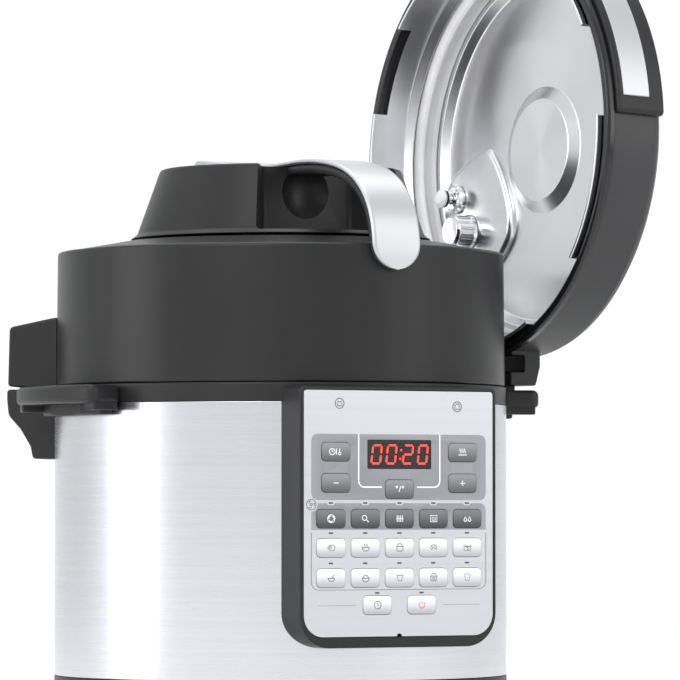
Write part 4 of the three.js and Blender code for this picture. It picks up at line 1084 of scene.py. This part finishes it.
def fryer_drum():
    r, z0, top = DRUM_HIGH.x, DRUM_LOW.z, 293.0
    inner = CHAMBER_HIGH.x + 1
    under = TOWER_LOW.z - GAP
    profile = softened([
        (inner, z0, 0.6), (r, z0, 1.2), (r - 0.7, top, 5.5), (r - 5.2, top - 0.3, 0.8),
        (r - 6.2, top - 1.2, 0.8), (r - 7.4, top + 0.4, 0.8), (TOWER_R0 + 10, under - 1.6, 6),
        (TOWER_R1 - 6, under),
        (TOWER_R1 - 6, under - 2.9), (TOWER_R0 + 8, under - 5.3, 6), (r - 9, top - 3, 3),
        (r - 3.6, top - 6.5, 2), (r - 2.6, z0 + 5, 0.6), (inner, z0 + 5, 0.6),
    ], 6)
    piece(lathe("drum_shell", profile, seg=192), "drum", "fryer_lid", "fryer_drum")


def channel_plan(grow):
    """Plan of the finger space; its back corners are softened when it is cut."""
    back = CHANNEL_Y + grow
    reach = TOWER_R0 + 28
    w = CHANNEL_HALF_W + grow
    front = w + 0.66 * (reach + back)
    return [(-w, back, 6), (-front, -reach), (front, -reach), (w, back, 6)]


def fryer_tower():
    z0, z1 = TOWER_LOW.z, TOWER_HIGH.z
    outer = [(0, z0), (TOWER_R0 + 5, z0, 0.5), (TOWER_R0 + 0.4, z0 + 3.2, 4), (TOWER_R1, z1, 3.0), (0, z1)]
    body = lathe("tower_shell", softened(outer, 6), seg=192)
    space = [(0, z0 - 1), (TOWER_R0 - 6, z0 - 1), (TOWER_R1 - 5, z1 - 7), (0, z1 - 7)]
    hollow = lathe("tower_hollow", space)
    guard = slab("guard", softened(channel_plan(3)), z0 - 5, z1 - 1)
    knuckle = block(-22, 22, CHANNEL_Y, CHANNEL_Y + 11, z1 - 29.7, z1 - 1)
    hollow = cut(hollow, join(guard, knuckle))
    channel = slab("channel", softened(channel_plan(0), 6), CHANNEL_Z, z1 + 12, 0, edge_low=2.4)
    dent_centre = (0, CHANNEL_Y - 14, z1 - 15.7)
    dent = lathe("dent", arc(0, 0, 22, -90, 90, 28), Matrix.Translation(dent_centre), seg=72)
    tower = cut(body, hollow, channel, dent, sharp=40)
    bevel = tower.modifiers.new("edge", "BEVEL")
    bevel.width = 0.9 * MM
    bevel.segments = 3
    bevel.limit_method = "ANGLE"
    bevel.angle_limit = math.radians(50)
    depsgraph = bpy.context.evaluated_depsgraph_get()
    mesh = bpy.data.meshes.new_from_object(tower.evaluated_get(depsgraph))
    bpy.data.objects.remove(tower)
    piece(finish_mesh("tower_shell", mesh, 40), "dark", "fryer_lid", "fryer_tower")


def smooth_line(points, per_span=6):
    """Catmull-Rom curve through points."""
    out = []
    n = len(points)
    for i in range(n - 1):
        p0, p1 = Vector(points[max(i - 1, 0)]), Vector(points[i])
        p2, p3 = Vector(points[i + 1]), Vector(points[min(i + 2, n - 1)])
        for k in range(per_span):
            t = k / per_span
            q = 0.5 * (2 * p1 + (p2 - p0) * t + (2 * p0 - 5 * p1 + 4 * p2 - p3) * t * t
                       + (3 * p1 - p0 - 3 * p2 + p3) * t ** 3)
            out.append(tuple(q))
    out.append(tuple(points[-1]))
    return out


# Side view of the strap's outer face as (y, z), from the round end at the front to the back.
STRAP_LINE = [
    (-150, 276.5), (-150, 288), (-148.6, 300), (-145.5, 311), (-140.5, 320.5), (-133, 329), (-123, 336.5),
    (-110, 342.6), (-95, 346.6), (-76, 349.4), (-56, 350.6), (-36, 350.8), (-20, 350.6), (0, 350.6),
    (20, 352.8), (38, 356.1), (54, 357.4), (76, 355.4),
]
STRAP_T = 3.6
STRAP_HALF_W = 17.0


def strap_half_width(y, travel, grow):
    """Half width along the strap: round front end, waist on the tower, round rear pad."""
    w = STRAP_HALF_W + grow
    if travel < w:
        return math.sqrt(max(0.0, w * w - (w - travel) ** 2))
    stops = [(-200, w), (-70, w), (-50, w - 0.5), (-30, w - 3), (-12, w - 4), (2, w - 2), (14, w + 5),
             (26, w + 13), (38, w + 18), (50, w + 19), (61, w + 14), (68, w + 6), (72, w - 5), (74.5, 0.6)]
    for (a, wa), (b, wb) in zip(stops, stops[1:]):
        if y <= b:
            t = max(0.0, (y - a) / (b - a))
            if b == 74.5:
                return wa + (wb - wa) * t * t
            t = t * t * (3 - 2 * t)
            return wa + (wb - wa) * t
    return 0.6


def band(name, line, depth0, depth1, grow, crown, roundness=0.35):
    """A flat band that follows line, depth0 to depth1 below its outer face."""
    pts = [Vector(p) for p in smooth_line(line)]
    travel = 0.0
    loops = []
    for i, p in enumerate(pts):
        if i:
            travel += (p - pts[i - 1]).length
        d = (pts[min(i + 1, len(pts) - 1)] - pts[max(i - 1, 0)]).normalized()
        inward = Vector((d.y, -d.x))
        half = max(strap_half_width(p.x, travel, grow), 0.5)
        deep = depth1 if p.x < -20 else max(depth1, p.y - TOWER_HIGH.z - 0.5)
        mid = (depth0 + deep) / 2
        thick = (deep - depth0) / 2
        edge = min(1.7, thick, half * 0.9)
        loop = []
        for sx, start in ((1, 0), (-1, 90), (-1, 180), (1, 270)):
            for k in range(6):
                a = math.radians(start + 90 * k / 5)
                u = sx * (half - edge * (1 + roundness)) + edge * (1 + roundness) * math.cos(a)
                v = thick * math.sin(a)
                sink = crown * (u / max(half, 1)) ** 2 * max(1.0, 2.6 * thick - 3) if v > 0 else 0.0
                q = p + inward * (mid - v + sink)
                loop.append((u, q.x, q.y))
        loops.append(loop)
    return loft(name, loops, sharp=50)


def fryer_strap():
    strap = band("strap_band", STRAP_LINE, 0.25, STRAP_T, 0, 0.25)
    piece(strap, "silver", "fryer_lid", "fryer_handle_strap")
    line = STRAP_LINE[:13]
    liner = band("strap_liner_band", line, STRAP_T + GAP, STRAP_T + 6, -1.1, 0.0, 0.0)
    r = DRUM_HIGH.x
    clear = lathe("clear", [(0, 200), (r + 0.6, 200), (r + 0.2, 293.8), (0, 312)], seg=192)
    behind = block(-40, 40, CHANNEL_Y - GAP, 60, 200, 420)
    piece(cut(liner, clear, behind), "liner", "fryer_lid", "fryer_handle_liner")


COIL_STEPS = 144
FAN_BLADES = 8


def fryer_inside():
    r, top, z0 = CHAMBER_HIGH.x, CHAMBER_HIGH.z, CHAMBER_LOW.z
    liner = softened([
        (9, top - 1), (r - 8, top - 1, 6), (r - 1, top - 8, 6), (r - 1, z0), (r, z0), (r, top - 8.4, 6),
        (r - 8.6, top, 6), (9, top),
    ])
    piece(lathe("chamber_shell", liner), "plate", "fryer_lid", "chamber_liner")
    low, high = box("fan_motor")
    motor = softened([
        (0, low.z), (high.x, low.z, 0.6), (high.x, low.z + 2.5, 0.6), (high.x - 4, low.z + 2.5, 0.5),
        (high.x - 4, high.z, 2), (0, high.z),
    ])
    piece(lathe("motor_can", motor, seg=72), "cast", "fryer_lid", "fan_motor")
    low, high = box("heating_coil")
    middle = (low.z + high.z) / 2
    coil = []
    for i in range(COIL_STEPS + 1):
        a = math.radians(90 + 720 * i / COIL_STEPS)
        rr = 94 - 16 * i / COIL_STEPS
        coil.append((rr * math.cos(a), rr * math.sin(a), middle))
    piece(rod("coil_tube", coil, 3.1), "coil", "fryer_lid", "heating_coil")
    guard_plate()
    low, high = FAN_LOW, FAN_HIGH
    fan_fz = low.z + 11
    hub = softened([
        (0, fan_fz - 9), (9, fan_fz - 9, 1), (12, fan_fz - 6, 2), (12, fan_fz + 3, 1), (4, fan_fz + 3, 0.6),
        (4, high.z), (0, high.z),
    ])
    disc = softened([(11, fan_fz), (high.x, fan_fz, 0.5), (high.x, fan_fz + 1.4, 0.5), (11, fan_fz + 1.4)])
    tools = [lathe("fan_disc", disc)]
    for i in range(FAN_BLADES):
        blade = slab("blade", rounded_rect(46, 1.6, 0.75, 45, 0, 3), low.z, fan_fz + 0.7, 0.3)
        turn = Matrix.Rotation(math.radians(360 * i / FAN_BLADES + 12), 4, "Z")
        blade.data.transform(turn)
        tools.append(blade)
    piece(join(lathe("fan_hub", hub, seg=64), *tools), "plate", "fan", "air_fan")


def guard_plate():
    r, z = GUARD_HIGH.x, GUARD_LOW.z
    plate = lathe("guard_plate", softened([
        (0, z), (r - 11, z, 5), (r, z + 6, 1), (r, z + 8, 0.6), (r - 11.6, z + 1.4, 5), (0, z + 1.4),
    ]))
    tools = []
    for count, radius, width in ((12, 78, 9), (8, 38, 8)):
        for i in range(count):
            slot = slab("slot", rounded_rect(26, width, width / 2 - 0.1, radius, 0), z - 2, z + 4)
            slot.data.transform(Matrix.Rotation(2 * math.pi * i / count, 4, "Z"))
            tools.append(slot)
    piece(cut(plate, *tools), "plate", "fryer_lid", "coil_guard")


# ---- pressure lid: heights below are along its own axis, lip at 0 and top up ----
PARK = (153.5, 0.0, 369.0)
FIN_X = 160.0
PARK_TURN = Matrix.Rotation(math.radians(2.5), 4, "Z")
PARKED = Matrix.Translation(PARK) @ PARK_TURN @ Matrix.Rotation(math.radians(92), 4, "Y")
LID_R = 139.3
LIP_R = 141.5
LID_DEPTH = 38.0
LID_CROWN = 63.0
FLANGE_R = 134.5
INNER_DEPTH = 48.0
VALVE_DEPTH = 43.0
RING_R0, RING_R1 = 120.5, 130.5
RING_Z0, RING_Z1 = 29.0, 42.4
NOTCH_AT = (44, 116, 184, 252, 320)
PLATFORM_AT = (42.0, 72.75)
FLOAT_AT = (28.6, 95.65, 0.0)
FILTER_AT = (51.7, 81.15, 0.0)
PLATFORM = [
    (-46, -8), (-38, -20), (-21, -32), (-1, -40), (16, -38), (33, -22), (41, -6), (33, 10),
    (14, 26), (-5, 34), (-20, 38), (-34, 22),
]


def at(place):
    """A valve's own axis on the parked lid."""
    return PARKED @ Matrix.Translation(place)


def smooth_loop(points, per_span=5):
    n = len(points)
    out = []
    for i in range(n):
        p0, p1, p2, p3 = (Vector(points[(i + k - 1) % n]) for k in range(4))
        for k in range(per_span):
            t = k / per_span
            q = 0.5 * (2 * p1 + (p2 - p0) * t + (2 * p0 - 5 * p1 + 4 * p2 - p3) * t * t
                       + (3 * p1 - p0 - 3 * p2 + p3) * t ** 3)
            out.append((q.x, q.y))
    return out


def pressure_cover():
    inner = FLANGE_R + 1
    d, c = LID_DEPTH, LID_CROWN
    lip = softened([
        (inner, 5.4), (inner, 0.4, 0.6), (inner + 1.5, -0.4, 0.8), (LIP_R - 0.6, -0.4, 1.2), (LIP_R, 2, 1.2),
        (LIP_R - 0.3, 5.4, 0.4),
    ])
    piece(lathe("cover_lip", lip, PARKED, 192), "gloss", "pressure_lid")
    shell = softened([
        (inner, 5.7), (LID_R + 0.5, 5.7, 0.5), (LID_R, d, 5), (LID_R - 2, d + 4, 3), (LID_R - 8, d + 9.2, 5),
        (LID_R - 30, d + 20, 14), (0, c), (0, c - 4), (LID_R - 31, d + 16.2, 8), (LID_R - 12, d + 7.4, 5),
        (inner - 1.5, d + 3.6, 2), (inner, d, 2),
    ])
    holes = [
        lathe("hole", [(0, 30), (3.5, 30), (3.5, 80), (0, 80)], at(FLOAT_AT), 32),
        lathe("hole", [(0, 30), (6, 30), (6, 80), (0, 80)], at(FILTER_AT), 32),
    ]
    cover = cut(lathe("cover_shell", shell, PARKED, 192), *holes)
    piece(cover, "cover", "pressure_lid", "pressure_cover")
    for i, r in enumerate((90, 60)):
        z = c - 0.0457 * r + 0.1
        groove = [(r - 0.9, z + 0.2), (r, z + 0.75), (r + 0.9, z + 0.2), (r + 0.9, z - 1), (r - 0.9, z - 1)]
        piece(lathe(f"cover_ring_{i + 1}", groove, PARKED), "cover", "pressure_lid")


def core(r):
    return lathe("core", [(0, -60), (r, -60), (r, 120), (0, 120)], PARKED, 192)


def fin_block():
    x = FIN_X
    z0 = HANDLE_LOW.z + 9.5
    foot = z0 + 12.5
    outline = softened([
        (x - 4, z0, 1.4), (x + 4, z0, 1.4), (x + 4, foot), (x + 14, foot, 2),
        (x + 17.5, foot + 12.5, 3), (x + 17.5, foot + 23.5, 3), (x + 8, foot + 36, 3), (x - 5, foot + 36),
        (x - 5, foot + 20), (x + 5, foot + 20, 1.5), (x + 5, foot + 9, 1.5), (x - 6, foot + 9, 1.4),
        (x - 6, foot, 1.4), (x - 4, foot),
    ], 4)
    body = slab("fin_block", outline, -30, 30, 0.8, TO_Y, edge_low=0.8)
    ears = [block(x - 20, x + 40, y, y + 25, z0 - 8, foot) for y in (20, -45)]
    body = cut(body, *ears)
    park = Vector(PARK) * MM
    body.data.transform(Matrix.Translation(park) @ PARK_TURN @ Matrix.Translation(-park))
    piece(cut(body, core(LID_R - 1.2)), "dark", "pressure_lid")


GRIP_ANGLES = (174, 265)
INLAY_ANGLES = (193, 260.5)
INLAY_Z = (10.3, 30.5)


def side_grip():
    a0, a1 = GRIP_ANGLES
    grip = slab("side_grip", sector(LID_R - 3, LID_R + 5, a0, a1, 40, 3.8), 6, LID_DEPTH + 4.6, 2.0, PARKED,
                edge_low=2.0)
    seat = slab("seat", sector(LID_R + 2.6, LID_R + 9, INLAY_ANGLES[0] - 0.12, INLAY_ANGLES[1] + 0.12, 40),
                INLAY_Z[0] - GAP, INLAY_Z[1] + GAP, 0, PARKED)
    piece(cut(grip, seat, core(LID_R - 1.2)), "dark", "pressure_lid")
    plan = sector(LID_R + 2.9, LID_R + 5.8, *INLAY_ANGLES, 48, 1.0)
    inlay = slab("side_inlay", plan, *INLAY_Z, 0.5, PARKED, edge_low=0.5)
    piece(inlay, "silver", "pressure_lid", "pressure_handle_inlay")


def top_bar():
    top, low, end = LID_CROWN, LID_DEPTH + 6, LID_R - 11.3
    outline = softened([
        (-end, low), (4 - end, low + 18, 8), (24 - end, top + 18, 14), (-60, top + 28, 24),
        (60, top + 28, 24), (end - 24, top + 18, 14), (end - 4, low + 18, 8), (end, low),
        (end - 28, low + 8, 4),
        (end - 42, top + 6, 8), (end - 76, top + 15, 12), (76 - end, top + 15, 12), (42 - end, top + 6, 8),
        (28 - end, low + 8, 4),
    ], 7)
    bar = slab("top_bar", outline, -22, 22, 3, PARKED @ TO_Y, edge_low=3, steps=5)
    g, d = GAP, LID_DEPTH
    clear = lathe("clear", [
        (0, -30), (LIP_R, -30), (LID_R + g, d), (LID_R - 2 + g, d + 4 + g), (LID_R - 8 + g, d + 9.2 + g),
        (LID_R - 30, d + 20 + g), (0, LID_CROWN + g),
    ], PARKED)
    piece(cut(bar, clear), "dark", "pressure_lid", "pressure_handle")


def inner_lid():
    r, d, t = FLANGE_R, INNER_DEPTH, 1.5
    wall = RING_R1 + GAP
    z0, z1 = RING_Z0, RING_Z1
    shell = lathe("inner_lid_shell", softened([
        (0, d - 4.5), (33.7, d - 4.5, 3), (42.3, d, 3), (RING_R0 - 7, d, 2), (RING_R0 - 2.6, z1 + GAP, 1.5),
        (wall - 2, z1 + GAP, 1), (wall, z1 - 2.4, 1), (wall, z0 - 0.6, 0.5), (wall - 3, z0 - 1.4, 0.8),
        (r - 2, z0 - 7, 2.5), (r - 2, -4, 0.9), (r, -4, 0.9), (r, z0 - 6, 2), (wall + 1.3, z0 - 4, 1),
        (wall + 1.3, z1 - 1.5, 2), (wall - 2, z1 + 1.6, 2), (RING_R0 - 2, z1 + 2, 1.5),
        (RING_R0 - 6, d + t, 2), (43.1, d + t, 2), (34.7, d - 3, 2), (0, d - 3),
    ], 5), PARKED, 192, 28)
    outline = smooth_loop([(PLATFORM_AT[0] + x, PLATFORM_AT[1] + y) for x, y in PLATFORM])
    platform = slab("platform", inset(outline, -1.5), VALVE_DEPTH, d + 0.6, 0, PARKED, edge_low=4.6, steps=7)
    tools = []
    for a in NOTCH_AT:
        tools.append(slab("notch", sector(r - 9, r + 4, a - 13.5, a + 13.5, 10, 1.5), -14, 6, 0, PARKED))
    for place, hole_r in ((FLOAT_AT, 5.2), (FILTER_AT, 8.2)):
        tools.append(lathe("hole", [(0, 0), (hole_r, 0), (hole_r, 80), (0, 80)], at(place), 48))
    solid = cut(join(shell, platform, sharp=28), *tools, sharp=28)
    piece(solid, "spun", "pressure_lid", "pressure_inner_lid")


def sealing_ring():
    r0, r1, z0, z1 = RING_R0, RING_R1, RING_Z0, RING_Z1
    ring = softened([
        (r0 + 2, z0, 1.2), (r1, z0, 1), (r1, z1 - 2.6, 1), (r1 - 2.2, z1, 1), (r0, z1, 1),
        (r0 + 3.2, z1 - 3, 1.5), (r0 + 3.2, z0 + 6, 1.5), (r0, z0 + 2.4, 1.2),
    ])
    band_ring = lathe("sealing_ring_band", ring, PARKED, 192)
    piece(band_ring, "silicone", "pressure_lid", "sealing_ring")


FILTER_SLOTS = 18


def steam_filter():
    z = VALVE_DEPTH - GAP
    cap = lathe("filter_cap", softened([
        (0, z - 15), (9, z - 15, 0.8), (11, z - 13.4, 1), (11.5, z - 2, 1), (12.5, z, 0.4), (7.9, z),
        (7.9, z + 8), (0, z + 8),
    ]), at(FILTER_AT), 96)
    slots = []
    for i in range(FILTER_SLOTS):
        slot = slab("slot", rounded_rect(5, 1.7, 0.8, 12.1, 0, 3), z - 12, z - 3.2)
        slot.data.transform(Matrix.Rotation(2 * math.pi * i / FILTER_SLOTS, 4, "Z"))
        slot.data.transform(scaled(at(FILTER_AT)))
        slots.append(slot)
    piece(cut(cap, *slots), "chrome", "pressure_lid", "steam_filter")


def scaled(matrix):
    """A placement in millimetres as one for a mesh that is already in metres."""
    out = matrix.copy()
    out.translation *= MM
    return out


def float_valve():
    z = VALVE_DEPTH - GAP
    collar = softened([
        (3.6, z - 5), (7, z - 5, 0.5), (8, z - 2.8, 0.6), (10, z - 1.8, 0.5), (10, z, 0.3), (3.6, z),
    ])
    piece(lathe("float_collar_ring", collar, at(FLOAT_AT), 64), "chrome", "pressure_lid", "float_collar")
    top = z - 5 - 4 - GAP
    pin = softened([(0, top + GAP), (3.2, top + GAP), (3.2, LID_CROWN - 1.5, 0.6), (0, LID_CROWN - 1.5)])
    piece(lathe("float_stem", pin, at(FLOAT_AT), 48), "chrome", "float", "float_pin")
    cap = softened([
        (0, top - 6), (3.5, top - 6, 0.8), (6.4, top - 4, 1), (6.4, top - 2.6, 0.4), (4.6, top - 2.4, 0.2),
        (4.6, top - 0.2, 0.2), (0, top),
    ])
    piece(lathe("float_cap", cap, at(FLOAT_AT), 64), "silicone", "float", "float_seal")
    o_ring = [(5.2 + 0.95 * x, top - 1.25 + 0.95 * y) for x, y in arc(0, 0, 1, 0, 345, 15)]
    piece(lathe("float_o_ring", o_ring, at(FLOAT_AT), 64), "rubber", "float")


def release_knob():
    z = LID_CROWN + 1.2
    skirt = lathe("release_knob_cap", softened([
        (0, z), (13, z, 0.5), (14, z + 2, 0.8), (12, z + 12, 1.5), (9, z + 14, 1.5), (0, z + 14),
    ]), at(FILTER_AT), 72)
    grip = slab("grip", rounded_rect(26, 8, 3), z + 8, z + 18, 1.5, at(FILTER_AT))
    piece(join(skirt, grip), "liner", "knob", "release_knob")


# ---- studio ----
def studio():
    floor_z = box("foot_1")[0].z
    sweep = [(-4000, floor_z), (2200, floor_z)]
    sweep += [(2200 + 900 * math.sin(math.radians(a)), floor_z + 900 * (1 - math.cos(math.radians(a))))
              for a in range(6, 91, 6)]
    sweep.append((3100, 5200))
    verts, faces = [], []
    for y, z in sweep:
        verts += [(-6000, y, z), (6000, y, z)]
    for i in range(len(sweep) - 1):
        faces.append((2 * i, 2 * i + 1, 2 * i + 3, 2 * i + 2))
    backdrop = make_mesh("studio_sweep", verts, faces, Matrix.Rotation(math.radians(CAMERA_AZIMUTH), 4, "Z"))
    backdrop.data.materials.append(MAT["paper"])
    world = bpy.data.worlds.new("studio")
    world.use_nodes = True
    sky = world.node_tree.nodes["Background"]
    sky.inputs["Color"].default_value = (0.98, 0.99, 1.0, 1)
    sky.inputs["Strength"].default_value = WORLD_LIGHT
    bpy.context.scene.world = world
    bpy.context.scene.view_settings.view_transform = "Standard"
    for name, place, size, power in LAMPS:
        lamp = bpy.data.lights.new(name, "AREA")
        lamp.shape = "RECTANGLE"
        lamp.size, lamp.size_y = size
        lamp.energy = power
        obj = bpy.data.objects.new(name, lamp)
        obj.location = place
        aim = Vector((0, 0, 0.2)) - Vector(place)
        obj.rotation_euler = aim.to_track_quat("-Z", "Y").to_euler()
        bpy.context.scene.collection.objects.link(obj)


MAT["paper"] = plastic("studio_paper", (0.86, 0.86, 0.86), 0.9, 0.02, 0.01)
MAT["cover"] = plastic("cover_plastic", (0.034, 0.034, 0.0355), 0.42, 0.06, gleam=0.35)
MAT["spun"] = spun("spun_steel", (0.74, 0.74, 0.76), PARK)
WORLD_LIGHT = 0.9
LAMPS = (
    ("key_light", (-1.9, -1.5, 1.6), (1.4, 1.4), 28),
    ("fill_light", (1.8, -2.2, 1.2), (1.2, 1.8), 16),
    ("top_light", (0.2, 0.4, 2.4), (2.0, 2.0), 26),
    ("side_light", (-2.3, 0.7, 0.6), (0.9, 1.8), 16),
)


# ---- assembly ----
def build():
    studio()
    base_pan()
    feet()
    steel_housing()
    top_collar()
    carry_handle("right_handle_ledge", "right_handle", 0, FIN_X)
    carry_handle("left_handle_ledge", "left_handle", 180, FIN_X)
    panel_bezel()
    fascia()
    panel_print()
    display()
    keys()
    inside()
    inner_pot()
    power_inlet()
    connector()
    fryer_drum()
    fryer_tower()
    fryer_strap()
    fryer_inside()
    pressure_cover()
    fin_block()
    side_grip()
    top_bar()
    inner_lid()
    sealing_ring()
    steam_filter()
    float_valve()
    release_knob()


build()
